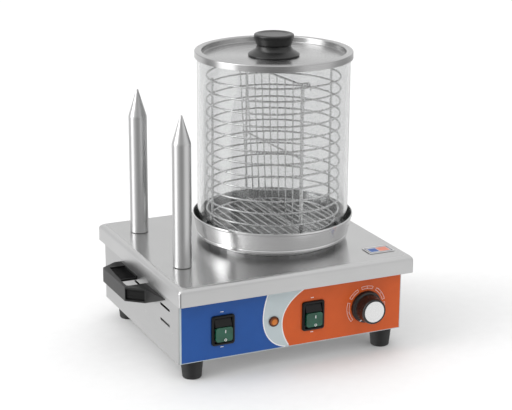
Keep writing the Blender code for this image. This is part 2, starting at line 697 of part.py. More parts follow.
def handle_screws():
    """Pan-head screws from inside the walls into the handles."""
    middle = sum(HANDLE_Z) / 2
    outline = [(0, 0), (2.0, 0), (2.0, -6.6), (4.2, -6.6), (3.6, -8.8), (0, -9.0)]
    points = [(r * MM, z * MM) for r, z in outline]
    tip = BODY_X + 5 * MM
    for side, word in ((-1, "left"), (1, "right")):
        for y, end in zip(HANDLE_SCREWS, ("front", "rear")):
            turned(f"handle_screw_{word}_{end}", points, STEEL, (side * tip, y, middle),
                   (0, side * math.pi / 2, 0), 12)


def foot_places():
    return [(x, y) for y in FOOT_Y for x in (-FOOT_X, FOOT_X)]


def feet():
    """Tapered rubber feet, each held by a screw up its middle."""
    names = ("front_left", "front_right", "rear_left", "rear_right")
    top = (BODY_BOTTOM - GAP) / MM
    wide, narrow = FOOT_TOP_R / MM, FOOT_BOTTOM_R / MM
    outline = [(wide - 0.6, top), (wide, top - 0.8), (narrow, 1.0), (narrow - 1.0, 0.0), (5.2, 0.0),
               (5.2, 8.0), (2.6, 8.0), (2.6, top)]
    points = [(r * MM, z * MM) for r, z in outline]
    screw = [(0, 33.0), (2.3, 33.0), (2.3, 7.7), (4.8, 7.7), (4.4, 5.0), (0, 4.6)]
    screw_points = [(r * MM, z * MM) for r, z in screw]
    for name, (x, y) in zip(names, foot_places()):
        turned(f"foot_{name}", points, RUBBER, (x, y, 0), None, 16, ring=True)
        turned(f"foot_screw_{name}", screw_points, STEEL, (x, y, 0), None, 12)


def cord_inlet():
    """Gland through the rear panel, with its nut inside.  Its bore takes the cord."""
    tail = -DIAL_FACE - BODY_BACK
    face_back = (-math.pi / 2, 0, 0)
    place = (GLAND_X, BODY_BACK, GLAND_Z)
    outline = [(7.0 * MM, tail), (9.0 * MM, tail - 1.5 * MM), (9.6 * MM, 4.6 * MM), (11.5 * MM, 4.0 * MM),
               (11.5 * MM, GAP), (8.0 * MM, GAP), (8.0 * MM, -11 * MM), (4.2 * MM, -11 * MM), (4.2 * MM, tail)]
    turned("cord_gland", outline, BLACK, place, face_back, 20, ring=True)
    nut_low = (GLAND_X, BODY_BACK - SHEET - GAP - 6 * MM, GLAND_Z)
    hex_nut("gland_nut", 22 * MM, 8.4 * MM, nut_low, 6 * MM, BLACK, axis="Y")


def terminal_block():
    obj = box("terminal_block", (-130 * MM, 70 * MM, BODY_BOTTOM + SHEET + GAP),
              (-90 * MM, 90 * MM, 45 * MM), CERAMIC)
    cutters = [rod(f"terminal_hole_{i}", 2.5 * MM, ((-123 + 13 * i) * MM, 60 * MM, 36 * MM), 12 * MM,
                   axis="Y", steps=10) for i in range(3)]
    return combine(obj, cutters)


def badge():
    return box("badge", (114 * MM, -121 * MM, DECK_TOP + GAP), (151 * MM, -97 * MM, DECK_TOP + GAP + 0.8 * MM),
               ALUMINIUM)


deck()
body_wrap()
rear_panel()
base_tray()
front_label()
for number, switch_x in enumerate(SWITCH_X, 1):
    switch_housing(number, switch_x)
    rocker(number, switch_x)
lamp()
thermostat()
dial()
water_pan()
pan_underside()
glass_cylinder()
basket()
basket_floor()
basket_divider()
lid()
lid_knob()
spikes()
handle("handle_left", -1)
handle("handle_right", 1)
handle_screws()
feet()
cord_inlet()
terminal_block()
badge()
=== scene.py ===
"""Looks of the hot dog steamer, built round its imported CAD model.

Metres, in the CAD's frame: +X to the right along the front, +Y to the back, +Z up.
"""

import json
import math

import bmesh
import bpy
from mathutils import Matrix, Vector

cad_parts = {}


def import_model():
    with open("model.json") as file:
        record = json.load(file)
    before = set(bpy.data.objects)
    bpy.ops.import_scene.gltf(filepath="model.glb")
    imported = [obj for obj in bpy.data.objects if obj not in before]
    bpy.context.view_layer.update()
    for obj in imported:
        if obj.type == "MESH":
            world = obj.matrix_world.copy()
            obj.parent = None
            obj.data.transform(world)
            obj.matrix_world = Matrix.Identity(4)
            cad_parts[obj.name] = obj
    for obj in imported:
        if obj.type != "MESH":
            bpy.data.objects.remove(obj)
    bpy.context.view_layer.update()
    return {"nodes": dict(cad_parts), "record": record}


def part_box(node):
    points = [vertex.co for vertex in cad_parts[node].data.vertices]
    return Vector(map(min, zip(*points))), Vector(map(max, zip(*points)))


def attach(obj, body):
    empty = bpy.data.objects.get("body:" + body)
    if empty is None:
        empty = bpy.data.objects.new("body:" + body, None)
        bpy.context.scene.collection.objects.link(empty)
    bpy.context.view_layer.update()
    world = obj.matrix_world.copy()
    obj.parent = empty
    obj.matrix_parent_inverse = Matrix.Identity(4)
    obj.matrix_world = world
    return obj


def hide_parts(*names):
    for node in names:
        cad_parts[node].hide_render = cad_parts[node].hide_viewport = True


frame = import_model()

MM = 0.001


def low(node):
    return Vector(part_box(node)[0])


def high(node):
    return Vector(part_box(node)[1])


def middle(node):
    return (low(node) + high(node)) / 2


def span(node):
    return high(node) - low(node)


def joint_place(name):
    joint = next(j for j in frame["record"]["behaviour"]["joints"] if j["name"] == name)
    return Vector(joint["pos_m"])


# Measures read from the frame; the lamp's barrel reaches behind the panel
LAMP_REACH = 15 * MM
AXIS = Vector((*middle("glass_cylinder").xy, 0))
DECK_TOP = high("deck").z
WALL_X = high("body_wrap").x
LABEL_FRONT = low("front_label").y
PANEL_OUT = high("lamp_bezel").y - LAMP_REACH
CONTROL_Z = middle("dial_knob").z
DIAL_X = middle("dial_knob").x

# Where a turned or flat piece faces: its own Z goes that way
FACING = {
    "up": Matrix.Identity(4),
    "front": Matrix.Rotation(math.pi / 2, 4, "X"),
    "back": Matrix.Rotation(-math.pi / 2, 4, "X") @ Matrix.Rotation(math.pi, 4, "Z"),
}
SMOOTH_ANGLE = math.radians(32)


# Outlines

def fillet(points, closed=False, steps=6):
    """Turn each (a, b, radius) corner of a polyline into an arc; (a, b) corners stay sharp."""
    made = []
    count = len(points)
    for i, point in enumerate(points):
        here = Vector(point[:2])
        radius = point[2] if len(point) > 2 else 0
        if not radius or (not closed and i in (0, count - 1)):
            made.append(tuple(here))
            continue
        back = (Vector(points[i - 1][:2]) - here).normalized()
        on = (Vector(points[(i + 1) % count][:2]) - here).normalized()
        half = back.angle(on) / 2
        centre = here + (back + on).normalized() * radius / math.sin(half)
        first = here + back * radius / math.tan(half) - centre
        last = here + on * radius / math.tan(half) - centre
        turn = first.angle_signed(last)
        for k in range(steps + 1):
            angle = -turn * k / steps
            spoke = Vector((first.x * math.cos(angle) - first.y * math.sin(angle),
                            first.x * math.sin(angle) + first.y * math.cos(angle)))
            made.append(tuple(centre + spoke))
    return made


def bezier(start, pull, push, end, steps=14):
    """Points along one cubic curve, without its last."""
    made = []
    for i in range(steps):
        t = i / steps
        weights = ((1 - t) ** 3, 3 * t * (1 - t) ** 2, 3 * t * t * (1 - t), t ** 3)
        parts = [Vector(point) * weight for point, weight in zip((start, pull, push, end), weights)]
        made.append(tuple(sum(parts, Vector((0, 0)))))
    return made


def rounded_rectangle(half_a, half_b, radius, steps=8):
    made = []
    for quarter, (side_a, side_b) in enumerate(((1, 1), (-1, 1), (-1, -1), (1, -1))):
        centre = Vector((side_a * (half_a - radius), side_b * (half_b - radius)))
        for i in range(steps + 1):
            angle = math.pi / 2 * (quarter + i / steps)
            made.append(tuple(centre + radius * Vector((math.cos(angle), math.sin(angle)))))
    return made


def circle(centre, radius, steps=48):
    return [(centre[0] + radius * math.cos(2 * math.pi * i / steps),
             centre[1] + radius * math.sin(2 * math.pi * i / steps)) for i in range(steps)]


def in_mm(points):
    return [tuple(value * MM for value in point) for point in points]


def profile(outline, steps=6, closed=False):
    """An outline given in millimetres, with its corners rounded."""
    return fillet(in_mm(outline), closed, steps)


# Pieces

def linked(name, data):
    """A new object in the scene."""
    obj = bpy.data.objects.new(name, data)
    bpy.context.scene.collection.objects.link(obj)
    return obj


def shape(name, bm, place=(0, 0, 0), facing="up", angle=SMOOTH_ANGLE):
    """Make an object of a bmesh, in its place in the frame, smooth but for its sharp edges."""
    bmesh.ops.transform(bm, matrix=Matrix.Translation(Vector(place)) @ FACING[facing], verts=bm.verts)
    mesh = bpy.data.meshes.new(name)
    bm.to_mesh(mesh)
    bm.free()
    mesh.shade_smooth()
    mesh.set_sharp_from_angle(angle=angle)
    return linked(name, mesh)


def finish_piece(obj, mat, body, slot, *nodes):
    """Material, body and the CAD nodes that a piece stands for; its slot is not used."""
    obj.data.materials.clear()
    obj.data.materials.append(mat)
    if obj.type == "MESH":
        even = obj.modifiers.new("even_normals", "WEIGHTED_NORMAL")
        even.keep_sharp = True
        even.weight = 100
    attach(obj, body)
    if nodes:
        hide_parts(*nodes)
    return obj


def lathe(name, outline, place, facing="up", steps=96, closed=False):
    """Turn (radius, height) points about the piece's own Z."""
    bm = bmesh.new()
    verts = [bm.verts.new((radius, 0, height)) for radius, height in outline]
    edges = [bm.edges.new(pair) for pair in zip(verts, verts[1:])]
    if closed:
        edges.append(bm.edges.new((verts[-1], verts[0])))
    bmesh.ops.spin(bm, geom=verts + edges, cent=(0, 0, 0), axis=(0, 0, 1), angle=2 * math.pi, steps=steps)
    bmesh.ops.remove_doubles(bm, verts=bm.verts, dist=1e-6)
    bmesh.ops.recalc_face_normals(bm, faces=bm.faces)
    return shape(name, bm, place, facing)


def loop(bm, points, height):
    return [bm.verts.new((a, b, height)) for a, b in points]


def edges_round(bm, verts):
    return [bm.edges.new((verts[i - 1], verts[i])) for i in range(len(verts))]


def thicken(bm, faces, way):
    """Extrude flat faces into a closed body."""
    grown = bmesh.ops.extrude_face_region(bm, geom=faces)
    moved = [v for v in grown["geom"] if isinstance(v, bmesh.types.BMVert)]
    bmesh.ops.translate(bm, vec=way, verts=moved)
    bmesh.ops.recalc_face_normals(bm, faces=bm.faces)


def slab(name, outline, bottom, top, place=(0, 0, 0), facing="up", holes=()):
    """A flat plate with straight sides, from an outline and holes in its own plane."""
    bm = bmesh.new()
    edges = edges_round(bm, loop(bm, outline, bottom))
    for hole in holes:
        edges += edges_round(bm, loop(bm, hole, bottom))
    filled = bmesh.ops.triangle_fill(bm, use_beauty=True, edges=edges)
    faces = [f for f in filled["geom"] if isinstance(f, bmesh.types.BMFace)]
    thicken(bm, faces, (0, 0, top - bottom))
    return shape(name, bm, place, facing)


def swept_frame(bm, half_a, half_b, corner, profile, steps=8, grow=-1.0):
    """Rings of a rounded rectangle at each (inset, height) of a profile, joined into one skin."""
    rings = []
    for inset, height in profile:
        radius = max(corner + grow * inset, 0.4 * MM)
        rings.append(loop(bm, rounded_rectangle(half_a - inset, half_b - inset, radius, steps), height))
    for one, two in zip(rings, rings[1:]):
        for i in range(len(one)):
            bm.faces.new((one[i - 1], one[i], two[i], two[i - 1]))
    return rings


def wires(name, paths, radius, sides=3):
    """One curve object of several round wires, given as (points, closed)."""
    curve = bpy.data.curves.new(name, "CURVE")
    curve.dimensions = "3D"
    curve.bevel_depth = radius
    curve.bevel_resolution = sides
    curve.use_fill_caps = True
    for points, closed in paths:
        spline = curve.splines.new("POLY")
        spline.points.add(len(points) - 1)
        spline.use_cyclic_u = closed
        spline.use_smooth = True
        for point, place in zip(spline.points, points):
            point.co = (*place, 1.0)
    return linked(name, curve)


def cuboid(corner_a, corner_b, turn=0.0):
    """A block for carving, between two corners, turned about Z at its middle."""
    one, two = Vector(corner_a), Vector(corner_b)
    bm = bmesh.new()
    bmesh.ops.create_cube(bm, size=1.0)
    size = Vector(abs(v) for v in two - one)
    bmesh.ops.scale(bm, vec=size, verts=bm.verts)
    bmesh.ops.rotate(bm, cent=(0, 0, 0), matrix=Matrix.Rotation(turn, 3, "Z"), verts=bm.verts)
    return shape("carving_block", bm, (one + two) / 2)


def applied(obj):
    """Replace an object's mesh by what its modifiers make of it."""
    depsgraph = bpy.context.evaluated_depsgraph_get()
    mesh = bpy.data.meshes.new_from_object(obj.evaluated_get(depsgraph))
    obj.modifiers.clear()
    obj.data = mesh
    return obj


def carve(obj, blocks):
    for block in blocks:
        cut = obj.modifiers.new("cut", "BOOLEAN")
        cut.object = block
        cut.solver = "EXACT"
    applied(obj)
    for block in blocks:
        bpy.data.objects.remove(block, do_unlink=True)
    return obj


def soften(obj, width, segments=3, angle=30):
    """Round an object's sharp edges."""
    weld = obj.modifiers.new("weld", "WELD")
    weld.merge_threshold = 1e-5
    bevel = obj.modifiers.new("edges", "BEVEL")
    bevel.width = width
    bevel.segments = segments
    bevel.limit_method = "ANGLE"
    bevel.angle_limit = math.radians(angle)
    bevel.harden_normals = True
    return obj


def face_material(obj, mat, chosen):
    """Give the faces that a test picks out a second material."""
    obj.data.materials.append(mat)
    for face in obj.data.polygons:
        if chosen(face):
            face.material_index = 1


# Materials

def material(name, colour, roughness, metallic=0.0, **sockets):
    mat = bpy.data.materials.new(name)
    mat.use_nodes = True
    shader = mat.node_tree.nodes["Principled BSDF"]
    shader.inputs["Base Color"].default_value = (*colour, 1)
    shader.inputs["Roughness"].default_value = roughness
    shader.inputs["Metallic"].default_value = metallic
    for socket, value in sockets.items():
        shader.inputs[socket.replace("_", " ")].default_value = value
    return mat


def node(owner, kind, operation=None, **inputs):
    """A shader node with its inputs set, or linked where a socket is given; _0 is the first input."""
    made = owner.node_tree.nodes.new(kind)
    if operation:
        made.operation = operation
    for name, value in inputs.items():
        socket = made.inputs[int(name[1:])] if name[0] == "_" else made.inputs[name.replace("_", " ")]
        if isinstance(value, bpy.types.NodeSocket):
            owner.node_tree.links.new(value, socket)
        else:
            socket.default_value = value
    return made


def feed(mat, source, socket):
    mat.node_tree.links.new(source, mat.node_tree.nodes["Principled BSDF"].inputs[socket])


def noise(mat, stretch, detail=3.0, roughness=0.55):
    """Noise over the object's own coordinates, stretched by a scale along each axis."""
    place = node(mat, "ShaderNodeTexCoord")
    mapped = node(mat, "ShaderNodeMapping", Vector=place.outputs["Object"], Scale=stretch)
    return node(mat, "ShaderNodeTexNoise", Vector=mapped.outputs["Vector"], Scale=1.0, Detail=detail,
                Roughness=roughness).outputs["Fac"]


def turned_noise(mat, axis, centre, along_radius, along_axis):
    """Noise in rings round an axis, as a lathe or a spinning pad leaves."""
    place = node(mat, "ShaderNodeTexCoord").outputs["Object"]
    moved = node(mat, "ShaderNodeVectorMath", "SUBTRACT", _0=place, _1=centre).outputs["Vector"]
    split = node(mat, "ShaderNodeSeparateXYZ", Vector=moved)
    across = [split.outputs[a] for a in "XYZ" if a != axis]
    flat = node(mat, "ShaderNodeCombineXYZ", X=across[0], Y=across[1]).outputs["Vector"]
    radius = node(mat, "ShaderNodeVectorMath", "LENGTH", _0=flat).outputs["Value"]
    by_radius = node(mat, "ShaderNodeMath", "MULTIPLY", _0=radius, _1=along_radius).outputs["Value"]
    by_axis = node(mat, "ShaderNodeMath", "MULTIPLY", _0=split.outputs[axis], _1=along_axis).outputs["Value"]
    both = node(mat, "ShaderNodeCombineXYZ", X=by_radius, Y=by_axis).outputs["Vector"]
    return node(mat, "ShaderNodeTexNoise", Vector=both, Scale=1.0, Detail=2.0).outputs["Fac"]


def spread(mat, value, least, most):
    return node(mat, "ShaderNodeMapRange", Value=value, To_Min=least, To_Max=most,
                From_Min=0.25, From_Max=0.75).outputs["Result"]


def relief(mat, value, strength, distance):
    bump = node(mat, "ShaderNodeBump", Height=value, Strength=strength, Distance=distance)
    feed(mat, bump.outputs["Normal"], "Normal")


def tinted(mat, value, colour_a, colour_b):
    """Let a value run the base colour between two close colours."""
    ramp = node(mat, "ShaderNodeValToRGB", Fac=value)
    ramp.color_ramp.elements[0].color = (*colour_a, 1)
    ramp.color_ramp.elements[1].color = (*colour_b, 1)
    ramp.color_ramp.elements[0].position = 0.3
    ramp.color_ramp.elements[1].position = 0.7
    feed(mat, ramp.outputs["Color"], "Base Color")


def shades(grey, change, warmth=0.0):
    """Two close greys round one, a little warm or cool."""
    return [(g * (1 + warmth), g, g * (1 - warmth)) for g in (grey - change, grey + change)]


def brushed(name, grey, roughness, grain, spread_by=0.06, bump=0.04, anisotropy=0.0, warmth=0.0):
    """Metal with fine lines that run along the axis whose grain is low."""
    mat = material(name, (grey, grey, grey), roughness, 1.0, Anisotropic=anisotropy)
    lines = noise(mat, grain)
    feed(mat, spread(mat, lines, roughness - spread_by, roughness + spread_by), "Roughness")
    relief(mat, lines, bump, 0.02 * MM)
    cloud = noise(mat, (14, 14, 14), detail=2.0)
    tinted(mat, cloud, *shades(grey, 0.012, warmth))
    return mat


def across_lines(mat, axis):
    """Make a brushed sheet's reflections spread across its lines, which run along an axis."""
    normal = node(mat, "ShaderNodeNewGeometry").outputs["Normal"]
    cross = node(mat, "ShaderNodeVectorMath", "CROSS_PRODUCT", _0=normal, _1=axis)
    feed(mat, cross.outputs["Vector"], "Tangent")


def across_rings(mat, centre):
    """Make a spun sheet's reflections spread across its rings, which run round an upright axis."""
    place = node(mat, "ShaderNodeTexCoord").outputs["Object"]
    outward = node(mat, "ShaderNodeVectorMath", "SUBTRACT", _0=place, _1=centre).outputs["Vector"]
    around = node(mat, "ShaderNodeVectorMath", "CROSS_PRODUCT", _0=outward, _1=(0, 0, -1)).outputs["Vector"]
    across_lines(mat, around)


def spun(name, grey, roughness, centre, rings=(2600, 2600), axis="Z", spread_by=0.05, bump=0.05,
         anisotropy=0.0):
    """Metal with fine rings round an axis."""
    mat = material(name, (grey, grey, grey), roughness, 1.0, Anisotropic=anisotropy)
    lines = turned_noise(mat, axis, centre, *rings)
    feed(mat, spread(mat, lines, roughness - spread_by, roughness + spread_by), "Roughness")
    relief(mat, lines, bump, 0.02 * MM)
    tinted(mat, noise(mat, (18, 18, 18), detail=2.0), *shades(grey, 0.012))
    return mat


def moulded(name, colour, roughness, grain=900, bump=0.12, change=0.15, **sockets):
    """Plastic or rubber with a fine pebbled skin and slight unevenness of colour."""
    mat = material(name, colour, roughness, 0.0, **sockets)
    pebbles = noise(mat, (grain, grain, grain), detail=2.0)
    feed(mat, spread(mat, pebbles, roughness - 0.06, roughness + 0.06), "Roughness")
    relief(mat, pebbles, bump, 0.05 * MM)
    darker, lighter = (tuple(c * (1 + sign * change) for c in colour) for sign in (-1, 1))
    tinted(mat, noise(mat, (60, 60, 60), detail=2.0), darker, lighter)
    return mat


def smooth_film(name, colour, roughness=0.4, change=0.03, **sockets):
    """Printed film or ink, smooth and almost even in colour."""
    return moulded(name, colour, roughness, grain=1600, bump=0.03, change=change, **sockets)


def clear_glass():
    """Glass that bends light a little and lets the lamps through to what stands in it."""
    mat = material("clear_glass", (0.75, 0.755, 0.755), 0.0, IOR=1.47, Transmission_Weight=1.0)
    streaks = noise(mat, (40, 40, 6), detail=1.0)
    feed(mat, spread(mat, streaks, 0.0, 0.03), "Roughness")
    relief(mat, streaks, 0.015, 0.1 * MM)
    tree = mat.node_tree
    shadow = node(mat, "ShaderNodeLightPath").outputs["Is Shadow Ray"]
    solid = tree.nodes["Principled BSDF"].outputs["BSDF"]
    clear = node(mat, "ShaderNodeBsdfTransparent", Color=(0.93, 0.94, 0.94, 1)).outputs["BSDF"]
    choice = node(mat, "ShaderNodeMixShader", Fac=shadow, _1=solid, _2=clear).outputs["Shader"]
    tree.links.new(choice, tree.nodes["Material Output"].inputs["Surface"])
    return mat


STEEL_X = brushed("steel_brushed_along_x", 0.56, 0.34, (30, 2200, 2200))
STEEL_Y = brushed("steel_brushed_along_y", 0.52, 0.38, (2200, 30, 2200))
DECK_STEEL = brushed("steel_deck", 0.56, 0.22, (18, 2600, 2600), 0.03, 0.015, anisotropy=0.95)
across_lines(DECK_STEEL, (1, 0.02, 0))
PAN_STEEL = spun("steel_pan", 0.64, 0.20, AXIS, spread_by=0.03, bump=0.03, anisotropy=0.8)
across_rings(PAN_STEEL, AXIS)
PAN_FLOOR = spun("steel_pan_floor", 0.42, 0.24, AXIS)
LID_STEEL = spun("steel_lid", 0.43, 0.26, AXIS, spread_by=0.03, bump=0.03, anisotropy=0.8)
across_rings(LID_STEEL, AXIS)
WIRE_STEEL = brushed("steel_wire", 0.72, 0.26, (700, 700, 700), 0.05, 0.05)
DARK_STEEL = brushed("steel_heat_dark", 0.20, 0.42, (500, 500, 500), 0.08, 0.1, warmth=0.05)
SCREW_STEEL = brushed("steel_screw", 0.50, 0.3, (900, 900, 900), 0.08, 0.08)
PLASTIC = moulded("plastic_black", (0.017, 0.017, 0.017), 0.38)
SWITCH_PLASTIC = moulded("plastic_switch", (0.006, 0.006, 0.006), 0.32, Specular_IOR_Level=0.28)
HANDLE_PLASTIC = moulded("plastic_handle", (0.008, 0.008, 0.008), 0.42, grain=700, bump=0.25)
# Lighter copy of the handle plastic: painted light on the handles' outer sides, which face the bright studio
HANDLE_PAINTED_LIGHT = moulded("plastic_handle_side_painted_light", (0.022, 0.022, 0.022), 0.45, grain=700, bump=0.25)
KNOB_PLASTIC = moulded("plastic_knob", (0.010, 0.010, 0.010), 0.3, bump=0.06)
RUBBER = moulded("rubber_feet", (0.010, 0.010, 0.010), 0.62, grain=500, bump=0.3)
FILM = smooth_film("film_silver", (0.545, 0.62, 0.64), 0.35, 0.02)
INK_BLUE = smooth_film("ink_blue", (0.012, 0.086, 0.345), 0.34, Specular_IOR_Level=0.3)
INK_ORANGE = smooth_film("ink_orange", (0.660, 0.106, 0.016), 0.34, Specular_IOR_Level=0.3)
INK_WHITE = smooth_film("ink_white", (0.88, 0.88, 0.88), change=0.02)
INK_NAVY = smooth_film("ink_navy", (0.035, 0.045, 0.085))
INK_CORAL = smooth_film("ink_coral", (0.72, 0.22, 0.14))
GREEN = moulded("lens_green", (0.009, 0.080, 0.046), 0.18, grain=1400, bump=0.04, change=0.35)
AMBER = moulded("lens_amber", (0.66, 0.19, 0.02), 0.12, grain=900, bump=0.05)
AMBER_EDGE = moulded("lens_amber_edge", (0.30, 0.075, 0.012), 0.15, grain=900, bump=0.05)
LAMP_RING = moulded("lamp_ring_brown", (0.090, 0.026, 0.010), 0.2, bump=0.05)
CAP_METAL = spun("aluminium_spun_cap", 0.75, 0.26, middle("dial_cap"), axis="Y", bump=0.2)
BADGE_METAL = brushed("aluminium_badge", 0.7, 0.3, (40, 1800, 1800), 0.05, 0.04)
CERAMIC = moulded("ceramic", (0.78, 0.76, 0.70), 0.6, grain=400, bump=0.2, change=0.04)
BRASS = brushed("brass_tube", 0.45, 0.3, (700, 700, 700), 0.06, 0.06, warmth=0.35)
GLASS = clear_glass()


def spike_metal(name, centre):
    """Turned aluminium, polished after turning."""
    return spun(name, 0.58, 0.33, centre, rings=(300, 3200), spread_by=0.05, bump=0.04)


# Sheet metal

DECK_CORNER = 3 * MM
DECK_BEND = 6.5 * MM
SHEET = 1.2 * MM
SPIKE_HOLE_R = 10.4 * MM
PAN_HOLE_R = 72 * MM


def deck_cover():
    """Pressed cover with round bends, pierced for the spikes and the pan's heater."""
    half = span("deck") / 2
    bottom = low("deck").z
    bends = [(DECK_BEND * (1 - math.cos(a)), DECK_TOP - DECK_BEND * (1 - math.sin(a)))
             for a in (math.pi / 2 * i / 8 for i in range(9))]
    bm = bmesh.new()
    rings = swept_frame(bm, half.x, half.y, DECK_CORNER, [(0, bottom)] + bends, steps=10, grow=1.1)
    edges = [bm.edges.get((rings[-1][i - 1], rings[-1][i])) for i in range(len(rings[-1]))]
    holes = (middle("spike_1"), SPIKE_HOLE_R), (middle("spike_2"), SPIKE_HOLE_R), (AXIS, PAN_HOLE_R)
    for place, radius in holes:
        edges += edges_round(bm, loop(bm, circle(place, radius), DECK_TOP))
    bmesh.ops.triangle_fill(bm, use_beauty=True, edges=edges)
    bmesh.ops.recalc_face_normals(bm, faces=bm.faces)
    top = max(bm.faces, key=lambda f: f.calc_center_median().z)
    if top.normal.z < 0:
        bmesh.ops.reverse_faces(bm, faces=bm.faces)
    obj = shape("deck_cover", bm)
    sheet = obj.modifiers.new("sheet", "SOLIDIFY")
    sheet.thickness = SHEET
    sheet.offset = -1
    finish_piece(obj, STEEL_X, "body", "deck_steel", "deck")
    face_material(obj, DECK_STEEL, lambda face: face.normal.z > 0.999)


# Places on a side wall, to the back and up, in millimetres
WELD_SPOTS = ((-107.6, 78.0), (-107.6, 57.8), (-16.0, 57.6), (75.0, 57.6))
WELD_R = 2.3 * MM
WELD_FLATNESS = 0.09
BRACKET_FROM = (-105, 60)
BRACKET_TO = (-63, 70)
BRACKET_BEHIND = (0.9 * MM, 1.7 * MM)


def weld_marks(side, word):
    """Shallow round marks that spot welds leave on a side wall."""
    bm = bmesh.new()
    for y, z in WELD_SPOTS:
        spot = bmesh.ops.create_uvsphere(bm, u_segments=20, v_segments=10, radius=WELD_R)["verts"]
        bmesh.ops.scale(bm, vec=(WELD_FLATNESS, 1, 1), verts=spot)
        bmesh.ops.translate(bm, vec=(side * WALL_X, y * MM, z * MM), verts=spot)
    obj = shape(f"weld_marks_{word}", bm)
    return finish_piece(obj, SCREW_STEEL, "body", "brushed_steel")


def slot_bracket(side, word):
    """Bracket inside the wall that closes its lower slot from behind."""
    (outer, inner), wall = BRACKET_BEHIND, WALL_X - SHEET
    corners = [(side * (wall - behind), y * MM, z * MM)
               for behind, (y, z) in ((inner, BRACKET_FROM), (outer, BRACKET_TO))]
    obj = cuboid(*corners)
    obj.name = f"slot_bracket_{word}"
    finish_piece(obj, STEEL_Y, "body", "brushed_steel")


# Front panel

LABEL_EDGE = 2.2 * MM
LINE_WIDTH = 1.5 * MM
INK = 0.04 * MM


def control_holes(grow=0.0):
    """Where the switches, the lamp and the dial's shaft pass through the label."""
    holes = []
    for name in ("switch_housing_1", "switch_housing_2"):
        centre = middle(name)
        holes.append([(a + centre.x, b + centre.z) for a, b in
                      rounded_rectangle(13.8 * MM + grow, 18.3 * MM + grow, 1 * MM, 3)])
    lamp = middle("lamp_bezel")
    holes.append(circle((lamp.x, lamp.z), 5.6 * MM + grow))
    holes.append(circle((DIAL_X, CONTROL_Z), 5 * MM + grow))
    return holes


def printed(name, outline, holes, mat, layer=1):
    """Ink on the front of the label film."""
    front = -LABEL_FRONT + (layer - 1) * INK
    obj = slab(name, outline, front - 0.02 * MM, front + INK, (0, 0, 0), "front", holes)
    return finish_piece(obj, mat, "body", "panel_label")


def ribbon(name, points, width):
    """A white line of even width along a curve on the label."""
    points = [Vector(p) for p in points]
    sides = [], []
    for i, here in enumerate(points):
        way = (points[min(i + 1, len(points) - 1)] - points[max(i - 1, 0)]).normalized()
        across = Vector((-way.y, way.x)) * width / 2
        sides[0].append(here + across)
        sides[1].append(here - across)
    printed(name, [tuple(p) for p in (*sides[0], *reversed(sides[1]))], [], INK_WHITE, layer=2)


def label_fields():
    """Blue and orange fields, with a curved silver band between them for the lamp."""
    lo, hi = low("front_label"), high("front_label")
    left, right = lo.x + LABEL_EDGE, hi.x - 1 * MM
    foot, head = lo.z + 0.8 * MM, hi.z - 1 * MM
    blue_edge = bezier((-34, 105), (-39, 92), (-42.5, 80), (-42.5, 66))
    blue_edge += bezier((-42.5, 66), (-42.5, 45), (-30, 26), (-6, 24.9))
    blue = [(left, head), *in_mm(blue_edge), (-6 * MM, foot), (left, foot)]
    orange_edge = bezier((26, 105), (2, 95), (-16.3, 78), (-16.3, 57))
    orange_edge += bezier((-16.3, 57), (-16.3, 45), (-12, 34), (-5.5, 24.9))
    orange = [(right, head), *in_mm(orange_edge), (-5.5 * MM, foot), (right, foot)]
    switch_left, switch_right, _, dial = control_holes(0.2 * MM)
    printed("label_blue", blue, [switch_left], INK_BLUE)
    printed("label_orange", orange, [switch_right, dial], INK_ORANGE)
    for word, edge in (("blue", blue_edge), ("orange", orange_edge)):
        inside = [(x, z) for x, z in in_mm(edge) if foot < z < head]
        ribbon(f"label_line_{word}", [*dict.fromkeys(inside)], LINE_WIDTH)


def label_film():
    lo, hi = low("front_label"), high("front_label")
    outline = [(lo.x, lo.z), (hi.x, lo.z), (hi.x, hi.z), (lo.x, hi.z)]
    obj = slab("label_film", outline, -hi.y, -lo.y - 0.02 * MM, (0, 0, 0), "front", control_holes())
    return finish_piece(obj, FILM, "body", "panel_label", "front_label")


# Degrees from the dial's right, where each printed band starts and ends
SCALE_BANDS = ((162, 220), (117, 150), (69, 105), (14, 57), (-42, 5))
SCALE_R = (24.4 * MM, 28.2 * MM)
SCALE_LINE = 0.42 * MM
NUMBER_SIZE = 3 * MM


def band(start, end, inner, outer, steps=12):
    """Outline of a stretch of a flat ring, between two angles in degrees."""
    angles = [math.radians(start + (end - start) * i / steps) for i in range(steps + 1)]
    sides = (outer, angles), (inner, angles[::-1])
    return [(r * math.cos(a), r * math.sin(a)) for r, way in sides for a in way]


def dial_scale():
    """Printed bands round the dial, as outlines."""
    inner, outer = SCALE_R
    trim = math.degrees(SCALE_LINE / outer)
    bm = bmesh.new()
    for start, end in SCALE_BANDS:
        border = band(start, end, inner, outer)
        hole = band(start + trim, end - trim, inner + SCALE_LINE, outer - SCALE_LINE)
        edges = edges_round(bm, loop(bm, border, 0)) + edges_round(bm, loop(bm, hole, 0))
        bmesh.ops.triangle_fill(bm, use_beauty=True, edges=edges)
    thicken(bm, list(bm.faces), (0, 0, INK))
    obj = shape("dial_scale", bm, (DIAL_X, LABEL_FRONT - INK, CONTROL_Z), "front")
    finish_piece(obj, INK_WHITE, "body", "panel_label")


def scale_numbers():
    """The numbers 1 to 5, one in each band."""
    middle_r = sum(SCALE_R) / 2
    for number, (start, end) in enumerate(SCALE_BANDS, 1):
        angle = math.radians((start + end) / 2)
        text = bpy.data.curves.new(f"scale_number_{number}", "FONT")
        text.body = str(number)
        text.size = NUMBER_SIZE
        text.align_x = text.align_y = "CENTER"
        text.extrude = INK / 2
        obj = linked(f"scale_number_{number}", text)
        place = Vector((DIAL_X + middle_r * math.cos(angle), LABEL_FRONT - 1.5 * INK,
                        CONTROL_Z + middle_r * math.sin(angle)))
        obj.matrix_world = Matrix.Translation(place) @ FACING["front"]
        finish_piece(obj, INK_WHITE, "body", "panel_label")


